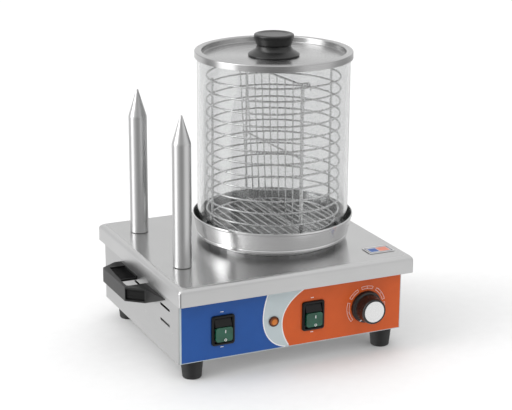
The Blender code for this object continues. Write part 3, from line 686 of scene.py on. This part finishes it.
TICK_HALF = (2.2 * MM, 0.45 * MM)
TICK_ASIDE = -1 * MM
TICK_HEIGHTS = (("above", 86 * MM), ("below", 39.2 * MM))


def switch_ticks():
    """A short plain line above and below each switch."""
    for index in (1, 2):
        across = middle(f"switch_housing_{index}").x + TICK_ASIDE
        for word, height in TICK_HEIGHTS:
            outline = rounded_rectangle(*TICK_HALF, 0.4 * MM, 3)
            place = (across, LABEL_FRONT - INK, height)
            obj = slab(f"switch_tick_{index}_{word}", outline, 0, INK, place, "front")
            finish_piece(obj, INK_WHITE, "body", "panel_label")


# (inset, height) over the label, in millimetres, with corner radii
BEZEL_OUT = 2.2
BEZEL_RIM = ((0, 0), (0, BEZEL_OUT, 0.9), (1.3, BEZEL_OUT, 0.4), (1.8, 1.4, 0.3), (1.8, -14))
BEZEL_CORNER = 2.6 * MM
BEZEL_WALL = 1 * MM


def switch_bezel(index):
    """Moulded rim round the rocker, with its well behind."""
    node_name = f"switch_housing_{index}"
    centre, size = middle(node_name), span(node_name)
    bm = bmesh.new()
    rings = swept_frame(bm, size.x / 2, size.z / 2, BEZEL_CORNER, profile(BEZEL_RIM), steps=6)
    bm.faces.new(rings[-1])
    bmesh.ops.recalc_face_normals(bm, faces=bm.faces)
    front = low(node_name).y + BEZEL_OUT * MM
    obj = shape(f"switch_bezel_{index}", bm, (centre.x, front, centre.z), "front")
    sheet = obj.modifiers.new("wall", "SOLIDIFY")
    sheet.thickness = BEZEL_WALL
    sheet.offset = -1
    finish_piece(obj, SWITCH_PLASTIC, "body", "black_plastic", node_name)


# Outward and upward from the rocker's pivot, in millimetres, with corner radii
KEY_OUTLINE = ((6.2, 5.0, 0.8), (0.6, 15.4, 0.8), (-1.2, 15.4), (-5.2, 13.2), (-5.2, -15.4),
               (2.0, -15.4, 0.5), (2.0, 5.0))
KEY_HALF = 11.4 * MM
LENS_OUT = (2.3 * MM, 7.0 * MM)
LENS_UP = (-14.2 * MM, 4.8 * MM)
LENS_CORNER = 3.4 * MM
MARK_ASIDE = 1.6 * MM
MARK_ON_UP = -0.8 * MM
MARK_OFF_UP = -12.0 * MM


def side_profile(name, outline, half_width, place):
    """Extrude an outline of (outward, up) points along X, both ways from its place."""
    points = profile(outline, 4, closed=True)
    bm = bmesh.new()
    face = bm.faces.new([bm.verts.new((-half_width, -out, up)) for out, up in points])
    thicken(bm, [face], (2 * half_width, 0, 0))
    return shape(name, bm, place)


def rocker(index, body, joint):
    """Rocker key, its green lens and the on and off marks on the lens."""
    pivot = joint_place(joint)
    place = Vector((middle(f"rocker_{index}").x, pivot.y, pivot.z))
    key = side_profile(f"rocker_key_{index}", KEY_OUTLINE, KEY_HALF, place)
    finish_piece(soften(key, 0.4 * MM), SWITCH_PLASTIC, body, "black_plastic", f"rocker_{index}")
    back, front = LENS_OUT
    foot, head = LENS_UP
    centre = place + Vector((0, 0, (foot + head) / 2))
    face = rounded_rectangle(KEY_HALF, (head - foot) / 2, LENS_CORNER)
    lens = slab(f"rocker_window_{index}", face, back, front, centre, "front")
    finish_piece(soften(lens, 1.0 * MM), GREEN, body, "green_lens", f"rocker_lens_{index}")
    marks = (("on", MARK_ON_UP, rounded_rectangle(0.5 * MM, 2.0 * MM, 0.4 * MM, 4), ()),
             ("off", MARK_OFF_UP, circle((0, 0), 1.7 * MM, 28), (circle((0, 0), 1.1 * MM, 28),)))
    for word, up, outline, holes in marks:
        spot = place + Vector((MARK_ASIDE, 0, up))
        mark = slab(f"rocker_mark_{word}_{index}", outline, front, front + INK, spot, "front", holes)
        finish_piece(mark, INK_WHITE, body, "panel_label")


def quarter_round(radius, rise, steps):
    """Half the outline of a dome, from its rim up to its top."""
    angles = [math.pi / 2 * i / steps for i in range(steps + 1)]
    return [(radius * math.cos(a), rise * math.sin(a)) for a in angles]


# (radius, height) over the panel, in millimetres, with corner radii
LAMP_OUTLINE = ((6.5, 0), (6.5, 1.4, 0.5), (5.8, 1.4, 0.2), (5.6, 0.7, 0.1), (4.0, 0.6), (4.0, -14))
LAMP_WALL = 0.5 * MM
DOME_R = 5.4 * MM
DOME_RISE = 2.9 * MM
DOME_SEAT = 0.9 * MM
DOME_SIDES = 14
DOME_DARK_FROM = 3.9 * MM
STEM_R = 3.7 * MM
STEM_BACK = -12 * MM


def pilot_lamp():
    """Thin ring with an amber dome cut in facets, dark towards its edge."""
    centre = middle("lamp_bezel")
    place = Vector((centre.x, PANEL_OUT, centre.z))
    obj = lathe("lamp_ring", profile(LAMP_OUTLINE, 4), place, "front", 48)
    wall = obj.modifiers.new("wall", "SOLIDIFY")
    wall.thickness = LAMP_WALL
    finish_piece(obj, LAMP_RING, "body", "lamp_metal", "lamp_bezel")
    dome = [(radius, DOME_SEAT + height) for radius, height in quarter_round(DOME_R, DOME_RISE, 6)]
    lens = lathe("lamp_dome", [(STEM_R, STEM_BACK), (STEM_R, DOME_SEAT)] + dome, place, "front", DOME_SIDES)
    lens.data.shade_flat()
    finish_piece(lens, AMBER, "body", "amber_lens", "lamp_lens")
    face_material(lens, AMBER_EDGE, lambda face: (face.center - place).xz.length > DOME_DARK_FROM)


# (radius, height) over the panel, in millimetres, with corner radii
KNOB_OUTLINE = ((3.3, 0), (21.6, 0, 0.3), (21.6, 2.4, 0.8), (20.6, 4.6, 1.2), (18.2, 6.2, 1.2),
                (17.0, 21.6, 1.0), (16.2, 23.2, 0.6), (14.7, 23.2, 0.2), (14.7, 22.2), (0, 22.2))
CAP_R = 14.3 * MM
CAP_SEAT = 22.5 * MM
POINTER_ANGLE = math.radians(238)
POINTER_PLACE = (19.4 * MM, 0, 5.45 * MM)
POINTER_TILT = math.atan2(1.6, 2.4)


def dial():
    """Knob with a skirt, a spun metal cap and a white pointer on the skirt's slope."""
    place = (DIAL_X, PANEL_OUT, CONTROL_Z)
    grip = lathe("dial_grip", profile(KNOB_OUTLINE, 5), place, "front")
    finish_piece(grip, KNOB_PLASTIC, "dial", "black_plastic", "dial_knob")
    face = PANEL_OUT - low("dial_cap").y
    cap = fillet([(0, face), (CAP_R, face, 0.5 * MM), (CAP_R, CAP_SEAT), (0, CAP_SEAT)], steps=5)
    finish_piece(lathe("dial_face", cap, place, "front"), CAP_METAL, "dial", "cap_aluminium", "dial_cap")
    mark = slab("dial_pointer", rounded_rectangle(1.6 * MM, 0.55 * MM, 0.3 * MM, 3), 0, 0.25 * MM)
    lay = Matrix.Translation(POINTER_PLACE) @ Matrix.Rotation(POINTER_TILT, 4, "Y")
    turned = FACING["front"] @ Matrix.Rotation(POINTER_ANGLE, 4, "Z")
    mark.data.transform(Matrix.Translation(place) @ turned @ lay)
    finish_piece(mark, INK_WHITE, "dial", "panel_label")


# Pan, glass, basket and lid

# (radius, height) over the table, in millimetres, with corner radii
PAN_OUTLINE = ((0, 138.2), (98.9, 138.2, 2.2), (104.9, 164.4, 3.0), (105.3, 166.1, 0.4), (106.9, 165.8, 0.5),
               (106.7, 163.8, 0.5), (105.7, 162.4, 0.7), (101.4, 142.3, 0.4), (100.4, 141.5, 0.2),
               (101.0, 140.4, 0.5), (100.9, 138.0, 0.9), (98.6, 137.0, 0.8), (0, 137.0))
PAN_WALL_FROM = 145 * MM
LID_OUTLINE = ((0, 376.0), (93.4, 376.0, 0.9), (94.0, 383.4, 1.1), (103.2, 383.4, 1.5), (103.2, 374.8),
               (102.2, 374.8), (102.2, 382.3, 0.9), (95.0, 382.3, 0.5), (94.3, 375.0, 0.8), (0, 375.0))
GRIP_OUTLINE = ((0, 403.6), (17.0, 403.7, 6.0), (22.6, 405.0, 1.6), (26.2, 404.0, 1.8), (25.6, 399.0, 2.0),
                (23.6, 391.8, 0.8), (22.4, 390.6, 0.3), (22.4, 389.6, 0.3), (22.8, 385.4, 8.0),
                (33.7, 378.2, 1.2), (33.2, 376.3), (2.7, 376.3), (2.7, 392.0), (0, 392.0))
GLASS_WALL = 4 * MM
GLASS_RIM_R = 1.4 * MM


def turned_pieces():
    pan = lathe("pan", profile(PAN_OUTLINE), AXIS, steps=160)
    finish_piece(pan, PAN_STEEL, "body", "brushed_steel", "water_pan")
    face_material(pan, PAN_FLOOR, lambda face: face.normal.z > 0.9 and face.center.z < PAN_WALL_FROM)
    cover = lathe("lid_dish", profile(LID_OUTLINE), AXIS, steps=160)
    finish_piece(cover, LID_STEEL, "lid", "brushed_steel", "lid")
    grip = lathe("lid_grip", profile(GRIP_OUTLINE), AXIS, steps=96)
    finish_piece(grip, KNOB_PLASTIC, "lid", "black_plastic", "lid_knob")


def glass_tube():
    """Cylinder with fire-polished rims."""
    outer = span("glass_cylinder").x / 2
    inner = outer - GLASS_WALL
    foot, head = low("glass_cylinder").z, high("glass_cylinder").z
    corners = (outer, head), (outer, foot), (inner, foot), (inner, head)
    outline = fillet([(*corner, GLASS_RIM_R) for corner in corners], closed=True, steps=5)
    obj = lathe("glass_tube", outline, AXIS, steps=160, closed=True)
    finish_piece(obj, GLASS, "glass", "clear_glass", "glass_cylinder")


WIRE_R = 1.25 * MM
POST_R = 1.6 * MM
POST_INSET = 1.7 * MM
POST_COUNT = 4
RING_COUNT = 12
RING_PITCH = 16.3 * MM
RING_DROP = 2.5 * MM
WELD_OUT = 0.9 * MM
WELD_BEAD_R = 1.75 * MM
FLOOR_PITCH = 10.8 * MM
FLOOR_SIDE = 7
FLOOR_RING_UP = 0.55 * MM
FLOOR_ROD_DROP = 1.2 * MM


def ring_path(radius, z, steps=96):
    return [(*point, z) for point in circle(AXIS, radius, steps)], True


def basket():
    """Cage of rings welded to posts, with a bead of weld at each crossing."""
    ring_r = span("basket").x / 2 - WIRE_R
    post_r = ring_r - POST_INSET
    top, foot = high("basket").z, low("basket").z
    levels = [top - RING_DROP - RING_PITCH * i for i in range(RING_COUNT)]
    rings = wires("basket_rings", [ring_path(ring_r, z) for z in levels], WIRE_R)
    finish_piece(rings, WIRE_STEEL, "basket", "wire_steel", "basket")
    places = [AXIS + Vector((*point, 0)) for point in circle((0, 0), post_r, POST_COUNT)]
    posts = wires("basket_posts", [([(p.x, p.y, foot), (p.x, p.y, top)], False) for p in places], POST_R)
    finish_piece(posts, WIRE_STEEL, "basket", "wire_steel")
    bm = bmesh.new()
    for p in places:
        out = (p - AXIS).normalized() * WELD_OUT
        for z in levels:
            bead = bmesh.ops.create_uvsphere(bm, u_segments=10, v_segments=6, radius=WELD_BEAD_R)["verts"]
            bmesh.ops.translate(bm, vec=(p.x + out.x, p.y + out.y, z), verts=bead)
    finish_piece(shape("basket_welds", bm), WIRE_STEEL, "basket", "wire_steel")


def basket_floor():
    """Ring with straight rods welded under it."""
    ring_r = span("basket_floor").x / 2 - WIRE_R
    z = middle("basket_floor").z + FLOOR_RING_UP
    paths = [ring_path(ring_r, z)]
    for k in range(-FLOOR_SIDE, FLOOR_SIDE + 1):
        across = FLOOR_PITCH * k
        half = math.sqrt(ring_r ** 2 - across ** 2)
        ends = [(AXIS.x + across, AXIS.y + side * half, z - FLOOR_ROD_DROP) for side in (-1, 1)]
        paths.append((ends, False))
    finish_piece(wires("basket_grid", paths, WIRE_R), WIRE_STEEL, "basket", "wire_steel", "basket_floor")


DIVIDER_RODS = 9
ROD_R = 0.9 * MM
ROD_INSET = 1.5 * MM
COIL_R = 2.6 * MM
COIL_TURNS = 4
COIL_PITCH = 3.25 * MM
COIL_STEPS = 16


def divider():
    """Leaning grid, hooked round the front of the top ring by a coiled end."""
    lo, hi = low("basket_divider"), high("basket_divider")
    bottom, top = lo.z + WIRE_R, hi.z - WIRE_R
    front, back = lo.y, hi.y
    lean = span("basket_divider").x - 2 * WIRE_R
    right = hi.x - WIRE_R

    def at(y, z):
        share = (z - bottom) / (top - bottom) * (y - front) / (back - front)
        return (right - lean * share, y, z)

    bars = [([at(y, z) for y in (front, back)], False) for z in (bottom, (bottom + top) / 2, top)]
    finish_piece(wires("divider_bars", bars, WIRE_R), WIRE_STEEL, "basket", "wire_steel", "basket_divider")
    pitch = (back - front - 2 * ROD_INSET) / (DIVIDER_RODS - 1)
    ys = [front + ROD_INSET + pitch * i for i in range(DIVIDER_RODS)]
    rods = [([at(y, bottom), at(y, top)], False) for y in ys]
    finish_piece(wires("divider_rods", rods, ROD_R), WIRE_STEEL, "basket", "wire_steel")
    coil = []
    for i in range(COIL_TURNS * COIL_STEPS + 1):
        turn = i / COIL_STEPS
        angle = 2 * math.pi * turn
        coil.append((right - 3 * MM + COIL_PITCH * turn, front - COIL_R + COIL_R * math.cos(angle),
                     top + COIL_R * math.sin(angle)))
    end_x, end_y, _ = coil[-1]
    coil += [(end_x + 1.5 * MM, end_y, top - 3 * MM), (end_x + 2 * MM, end_y, top - 9 * MM)]
    finish_piece(wires("divider_hook", [(coil, False)], ROD_R * 0.8), WIRE_STEEL, "basket", "wire_steel")


# Spikes, badge, handles, feet and the cord inlet

SPIKE_POINT = 36 * MM
# (radius, height) of a spike's tail below the deck and of its bore, in millimetres
SPIKE_TAIL = ((10, 112), (8.2, 112), (8.2, 296), (0, 300))


def spike(index):
    """Tube drawn to a point, with a fine line where it meets the deck."""
    centre = middle(f"spike_{index}")
    centre.z = 0
    tip = high(f"spike_{index}").z
    radius = span(f"spike_{index}").x / 2
    seat = DECK_TOP + 0.3 * MM
    outer = [(0, tip), (1.2 * MM, tip, 0.9 * MM), (radius, tip - SPIKE_POINT, 9 * MM),
             (radius, seat + 0.6 * MM, 0.2 * MM), (radius - 0.8 * MM, seat), (SPIKE_TAIL[0][0] * MM, seat)]
    outline = fillet(outer + in_mm(SPIKE_TAIL), steps=8)
    obj = lathe(f"bun_spike_{index}", outline, centre, steps=72)
    mat = spike_metal(f"aluminium_spike_{index}", centre)
    finish_piece(obj, mat, "body", "spike_aluminium", f"spike_{index}")


# (inset, height) in millimetres, with corner radii
BADGE_EDGE = ((0, 0), (0, 0.8, 0.3), (1.2, 0.8, 0.1), (1.5, 0.55))
BADGE_CORNER = 2.4 * MM
BADGE_FACE = BADGE_EDGE[-1][1] * MM
RIVET_R = 1.2 * MM
RIVET_RISE = 0.25 * MM
RIVET_INSET = 3.6 * MM


def badge():
    """Plate with a raised edge, plain fields and two rivets, where a maker's sticker would be."""
    centre, size = middle("badge"), span("badge")
    bm = bmesh.new()
    rings = swept_frame(bm, size.x / 2, size.y / 2, BADGE_CORNER, profile(BADGE_EDGE, 3), steps=6)
    bm.faces.new(rings[-1])
    bm.faces.new(rings[0])
    bmesh.ops.recalc_face_normals(bm, faces=bm.faces)
    obj = shape("badge_plate", bm, (centre.x, centre.y, low("badge").z))
    finish_piece(obj, BADGE_METAL, "body", "badge_metal", "badge")
    face = low("badge").z + BADGE_FACE
    inside = rounded_rectangle(14.9 * MM, 8.6 * MM, 0.9 * MM)
    fields = (("frame", 0, rounded_rectangle(16.4 * MM, 9.9 * MM, 1.4 * MM), (inside,), INK_NAVY),
              ("blue", -7.6 * MM, rounded_rectangle(5.8 * MM, 6.2 * MM, 0.6 * MM), (), INK_BLUE),
              ("orange", 6.4 * MM, rounded_rectangle(7.2 * MM, 7.0 * MM, 0.6 * MM), (), INK_CORAL))
    for word, aside, outline, holes, ink in fields:
        place = (centre.x + aside, centre.y, 0)
        field = slab(f"badge_{word}", outline, face - 0.01 * MM, face + INK, place, "up", holes)
        finish_piece(field, ink, "body", "badge_metal")
    for word, side in (("left", -1), ("right", 1)):
        place = (centre.x + side * (size.x / 2 - RIVET_INSET), centre.y, face)
        rivet = lathe(f"badge_rivet_{word}", quarter_round(RIVET_R, RIVET_RISE, 4), place, steps=20)
        finish_piece(rivet, SCREW_STEEL, "body", "badge_metal")


# Outward from the wall and along it, in millimetres, with corner radii
HANDLE_OUTLINE = ((0.3, -83), (1.2, -83), (9.3, -39, 1), (30.6, -21, 1.2), (31, 61.6, 2.6), (9, 77, 4),
                  (0.3, 77))
HANDLE_TIP = 1.2 * MM
# Distance out from the wall beyond which a handle's faces take the painted light
PAINTED_LIGHT_FROM = 30 * MM
GRIP_HOLE = ((-5, -17.5), (24, -17.5), (26, -15.5), (26, 14), (-5, 14))
GRIP_HOLLOW = ((-5, -16), (24.5, 60))
GRIP_ROOF = 5.5 * MM
GRIP_RECESS = ((1.5, 0), (25.6, 0), (25.6, 10), (22.4, 58.5), (1.5, 58.5))
RECESS_DEEP = 2.5 * MM
RIB_COUNT = 13
RIB_START = 17.5 * MM
RIB_PITCH = 3.1 * MM
RIB_SIZE = (20 * MM, 1.1 * MM, 1.0 * MM)
RIB_OUT = 12.2 * MM
# The pocket in the slanted front facet, in millimetres
POCKET_HALF = 13.0
POCKET_DEEP = 3.6
# Height up the handle, height and thickness of the dark sheet of painted shade and its two ridges
SHADE_SHEET_AND_RIDGES = ((0.5, 0.7, 0.6 * MM), (0.32, 0.09, 1.4 * MM), (0.66, 0.09, 1.4 * MM))


def front_facet():
    """Middle of the handle's slanted front facet, the way into it and its slope, for the right handle."""
    start, end = (Vector(corner[:2]) for corner in HANDLE_OUTLINE[2:4])
    slope = math.atan2(end.y - start.y, end.x - start.x)
    return (start + end) / 2, Vector((-math.sin(slope), math.cos(slope))), slope


def grip(name, side):
    """Moulded handle: rimmed top with a recess, an opening for a finger, hollow below."""
    bottom, top = low(name).z, high(name).z

    def prism(plan, lower, upper, word="carving_prism"):
        return slab(word, [(side * (WALL_X + out * MM), y * MM) for out, y in plan], lower, upper)

    def block(out, y, z, turn=0.0):
        corners = [(side * (WALL_X + out[i] * MM), y[i] * MM, z[i]) for i in (0, 1)]
        return cuboid(*corners, turn)

    obj = prism(fillet(HANDLE_OUTLINE, closed=True, steps=5), bottom, top, f"grip_{name}")
    facet, inward, slope = front_facet()
    deep = facet + inward * (POCKET_DEEP / 2 - 1)
    half_deep = POCKET_DEEP / 2 + 1
    pocket = block((deep.x - POCKET_HALF, deep.x + POCKET_HALF), (deep.y - half_deep, deep.y + half_deep),
                   (bottom + 2.2 * MM, top - 2.4 * MM), side * slope)
    tip_y, start_y = HANDLE_OUTLINE[0][1] * MM, HANDLE_OUTLINE[2][1] * MM
    rise = math.atan2(top - HANDLE_TIP - bottom, start_y - tip_y)
    wedge = cuboid((-20 * MM, -60 * MM, -20 * MM), (20 * MM, 0, 0))
    pivot = Vector((side * (WALL_X + 5 * MM), start_y, bottom))
    wedge.data.transform(Matrix.Translation(pivot) @ Matrix.Rotation(-rise, 4, "X"))
    (near, first), (far, last) = GRIP_HOLLOW
    carve(obj, [
        prism(GRIP_HOLE, bottom - 5 * MM, top + 5 * MM),
        block((near, far), (first, last), (bottom - 5 * MM, top - GRIP_ROOF)),
        prism(GRIP_RECESS, top - RECESS_DEEP, top + 5 * MM),
        pocket,
        wedge,
    ])
    soften(obj, 0.7 * MM)
    finish_piece(obj, HANDLE_PLASTIC, "body", "black_plastic", name)
    # Painted light: the outer side faces take the lighter copy of the plastic
    face_material(obj, HANDLE_PAINTED_LIGHT, lambda face: abs(face.center.x) > WALL_X + PAINTED_LIGHT_FROM)


def add_bar(bm, size, place):
    bar = bmesh.ops.create_cube(bm, size=1.0)["verts"]
    bmesh.ops.scale(bm, vec=size, verts=bar)
    bmesh.ops.translate(bm, vec=place, verts=bar)


def grip_ribs(name, side):
    """Ribs across the recess in the handle's top."""
    bm = bmesh.new()
    for i in range(RIB_COUNT):
        place = (side * (WALL_X + RIB_OUT), RIB_START + RIB_PITCH * i, high(name).z - 2.2 * MM)
        add_bar(bm, RIB_SIZE, place)
    ribs = soften(shape(f"ribs_{name}", bm), 0.3 * MM, 2)
    finish_piece(ribs, SWITCH_PLASTIC, "body", "black_plastic")


def pocket_lining(name, side):
    """Back of the pocket in the front facet: a darker sheet as painted shade, with two ridges."""
    height = span(name).z
    bm = bmesh.new()
    for up, tall, thick in SHADE_SHEET_AND_RIDGES:
        size = (2 * POCKET_HALF * MM - 1.2 * MM, thick, height * tall)
        add_bar(bm, size, (0, 0, low(name).z + height * up))
    facet, inward, slope = front_facet()
    back = (facet + inward * (POCKET_DEEP - 0.2)) * MM
    shade_sheet = shape(f"pocket_{name}", bm)
    place = Matrix.Translation((side * (WALL_X + back.x), back.y, 0))
    shade_sheet.data.transform(place @ Matrix.Rotation(side * slope, 4, "Z"))
    # Darker plastic on the pocket's back: painted shade
    finish_piece(shade_sheet, SWITCH_PLASTIC, "body", "black_plastic")


def handle(name, side):
    grip(name, side)
    grip_ribs(name, side)
    pocket_lining(name, side)


# (radius, height) over the table, in millimetres, with corner radii
FOOT_OUTLINE = ((2.6, 23.5), (13.9, 23.5, 0.4), (14.5, 22.4, 0.6), (12.3, 1.2, 0.4), (11.4, 0, 0.5), (5.2, 0),
                (5.2, 8), (2.6, 8))


FOOT_WORDS = ("front_left", "front_right", "rear_left", "rear_right")


def foot(word):
    """Tapered rubber foot with a hollow for its screw."""
    node_name = f"foot_{word}"
    centre = middle(node_name)
    centre.z = 0
    obj = lathe(f"rubber_{node_name}", profile(FOOT_OUTLINE, 4, True), centre, steps=64, closed=True)
    finish_piece(obj, RUBBER, "body", "rubber", node_name)


# (radius, height) over the rear panel, in millimetres, with corner radii
GLAND_OUTLINE = ((4.2, 13.8, 0.4), (7.0, 13.8, 1.0), (9.6, 11.2, 0.8), (9.6, 4.6, 0.3), (11.5, 4.0, 0.5),
                 (11.5, 0.3), (8.0, 0.3), (8.0, -11), (4.2, -11))


def gland():
    """Screwed inlet that the supply cord would pass through."""
    centre = middle("cord_gland")
    place = (centre.x, high("rear_panel").y, centre.z)
    obj = lathe("gland_body", profile(GLAND_OUTLINE, 4, True), place, "back", 64, closed=True)
    finish_piece(obj, PLASTIC, "body", "black_plastic", "cord_gland")


SCREW_HEAD = ((0, 2.0), (3.2, 1.9, 1.2), (3.7, 0), (0, 0))
SCREW_RISE = 2 * MM
SCREW_INSET = 9 * MM
SCREW_DROP = 32 * MM
CROSS_ARM = Vector((2.0, 0.4, 1.0)) * MM


def rear_screws():
    """Pan-head screws along the edges of the rear panel."""
    lo, hi = low("rear_panel"), high("rear_panel")
    columns = (lo.x + SCREW_INSET, middle("rear_panel").x, hi.x - SCREW_INSET)
    places = [(x, z) for z in (lo.z + SCREW_INSET, hi.z - SCREW_DROP) for x in columns]
    for number, (x, z) in enumerate(places, 1):
        obj = lathe(f"rear_screw_{number}", profile(SCREW_HEAD, 5), (x, hi.y, z), "back", 32)
        arms = []
        for turn in (0, math.pi / 2):
            block = cuboid(-CROSS_ARM, CROSS_ARM, turn)
            block.data.transform(Matrix.Translation((x, hi.y + SCREW_RISE, z)) @ FACING["back"])
            arms.append(block)
        finish_piece(carve(obj, arms), SCREW_STEEL, "body", "screw_steel")


# CAD nodes that stay, with their materials

KEPT = {
    STEEL_X: ("rear_panel", "base_tray"),
    STEEL_Y: ("body_wrap",),
    DARK_STEEL: ("pan_heater", "heater_plate", "thermostat_body", "spike_heater_1", "spike_heater_2"),
    SCREW_STEEL: ("pan_ring", "heater_stud", "heater_nut", "spike_nut_1", "spike_nut_2", "knob_screw",
                  "thermostat_shaft", "handle_screw_left_front", "handle_screw_left_rear",
                  "handle_screw_right_front", "handle_screw_right_rear",
                  *(f"foot_screw_{word}" for word in FOOT_WORDS)),
    PLASTIC: ("gland_nut",),
    CERAMIC: ("terminal_block", "thermal_cutout"),
    BRASS: ("thermostat_sensor",),
}


def dress_kept_nodes():
    for mat, names in KEPT.items():
        for name in names:
            obj = frame["nodes"][name]
            obj.data.materials.clear()
            obj.data.materials.append(mat)


# Studio

# Angles in radians, the lens and its sensor in millimetres
CAMERA_PLACE = Vector((-0.82256, -1.78754, 0.77799))
CAMERA_YAW = 0.4342
CAMERA_DIP = 0.2966
CAMERA_ROLL = 0.0061
CAMERA_LENS = 109.07
CAMERA_SENSOR = 36
KEY_PLACE = (0.9, 0.7, 2.0)
KEY_SIZE = (1.8, 1.8)
KEY_WATTS = 7
AIM = Vector((0, 0, 0.18))


def camera():
    """Camera at the height and distance of a tabletop studio shot."""
    data = bpy.data.cameras.new("camera")
    data.sensor_width = CAMERA_SENSOR
    data.lens = CAMERA_LENS
    obj = linked("camera", data)
    turn = Matrix.Rotation(-CAMERA_YAW, 4, "Z") @ Matrix.Rotation(math.pi / 2 - CAMERA_DIP, 4, "X")
    obj.matrix_world = Matrix.Translation(CAMERA_PLACE) @ turn @ Matrix.Rotation(CAMERA_ROLL, 4, "Z")
    bpy.context.scene.camera = obj


# How bright the studio's walls are round the horizon: degrees from the front towards the left
WALLS = ((-180, 1.00), (-130, 0.62), (-95, 0.55), (-78, 0.62), (-60, 1.00), (-40, 1.04), (-22, 1.02),
         (-4, 0.52), (12, 0.36), (30, 0.36), (46, 0.52), (58, 0.62), (68, 0.95), (77, 0.75), (85, 2.2),
         (108, 2.2), (118, 0.7), (136, 0.50), (152, 1.10), (180, 1.00))
# The same a little above the horizon, and high up, where only the lamp on the left stands out
BAND = ((-180, 0.93), (-125, 0.93), (-95, 0.55), (-60, 1.0), (-22, 0.86), (-4, 0.52), (12, 0.36), (30, 0.36),
        (46, 0.52), (58, 0.62), (68, 0.95), (77, 0.75), (85, 4.5), (108, 4.5), (118, 0.9), (136, 0.6),
        (155, 0.85), (180, 0.93))
HIGH = ((-180, 1.0), (72, 1.0), (84, 4.0), (112, 4.0), (124, 1.0), (180, 1.0))
LEVEL_MOST = 5.0
SKY = 1.0


def world():
    """Pale studio: an even sky over walls that are brighter on some sides than on others."""
    made = bpy.data.worlds.new("studio")
    bpy.context.scene.world = made
    made.use_nodes = True
    made.node_tree.nodes.clear()
    way = node(made, "ShaderNodeTexCoord").outputs["Generated"]
    split = node(made, "ShaderNodeSeparateXYZ", Vector=way)
    left = node(made, "ShaderNodeMath", "MULTIPLY", _0=split.outputs["X"], _1=-1.0).outputs[0]
    front = node(made, "ShaderNodeMath", "MULTIPLY", _0=split.outputs["Y"], _1=-1.0).outputs[0]
    angle = node(made, "ShaderNodeMath", "ARCTAN2", _0=left, _1=front).outputs[0]
    share = node(made, "ShaderNodeMapRange", Value=angle, From_Min=-math.pi, From_Max=math.pi)

    def around(levels):
        ramp = node(made, "ShaderNodeValToRGB", Fac=share.outputs["Result"])
        stops = ramp.color_ramp.elements
        for degrees, _ in levels[1:-1]:
            stops.new((degrees + 180) / 360)
        for stop, (_, level) in zip(stops, levels):
            stop.color = (*[level / LEVEL_MOST] * 3, 1)
        return node(made, "ShaderNodeMath", "MULTIPLY", _0=ramp.outputs["Color"], _1=LEVEL_MOST).outputs[0]

    def above(lower, upper, start, end):
        height = node(made, "ShaderNodeMapRange", Value=split.outputs["Z"], From_Min=start, From_Max=end)
        height.interpolation_type = "SMOOTHSTEP"
        mix = node(made, "ShaderNodeMix", Factor=height.outputs["Result"], _2=lower, _3=upper)
        return mix.outputs["Result"]

    lower = above(around(WALLS), around(BAND), -0.12, 0.10)
    bright = above(above(lower, around(HIGH), 0.40, 0.55), SKY, 0.85, 0.97)
    background = node(made, "ShaderNodeBackground", Color=(1, 1, 1, 1), Strength=bright)
    node(made, "ShaderNodeOutputWorld", Surface=background.outputs["Background"])


def softbox(name, place, size, power):
    """A large area light aimed at the middle of the object."""
    data = bpy.data.lights.new(name, "AREA")
    data.shape = "RECTANGLE"
    data.size, data.size_y = size
    data.energy = power
    obj = linked(name, data)
    way = AIM - Vector(place)
    obj.matrix_world = Matrix.Translation(place) @ way.to_track_quat("-Z", "Y").to_matrix().to_4x4()
    obj.visible_camera = False
    obj.visible_glossy = False


def floor():
    """Plain pale sheet under the object."""
    bm = bmesh.new()
    bmesh.ops.create_grid(bm, x_segments=8, y_segments=8, size=6.0)
    obj = shape("floor", bm)
    mat = moulded("floor_paper", (0.84, 0.84, 0.84), 0.9, grain=300, bump=0.05, change=0.01)
    obj.data.materials.append(mat)
    obj.visible_glossy = False


deck_cover()
for wall_side, wall_word in ((-1, "left"), (1, "right")):
    weld_marks(wall_side, wall_word)
    slot_bracket(wall_side, wall_word)
label_film()
label_fields()
dial_scale()
scale_numbers()
switch_ticks()
for switch, rocker_body in ((1, "rocker_left"), (2, "rocker_right")):
    switch_bezel(switch)
    rocker(switch, rocker_body, f"{rocker_body}_turn")
pilot_lamp()
dial()
turned_pieces()
glass_tube()
basket()
basket_floor()
divider()
spike(1)
spike(2)
badge()
handle("handle_left", -1)
handle("handle_right", 1)
for foot_word in FOOT_WORDS:
    foot(foot_word)
gland()
rear_screws()
dress_kept_nodes()

floor()
world()
softbox("key_light", KEY_PLACE, KEY_SIZE, KEY_WATTS)
camera()
bpy.context.scene.view_settings.view_transform = "Standard"
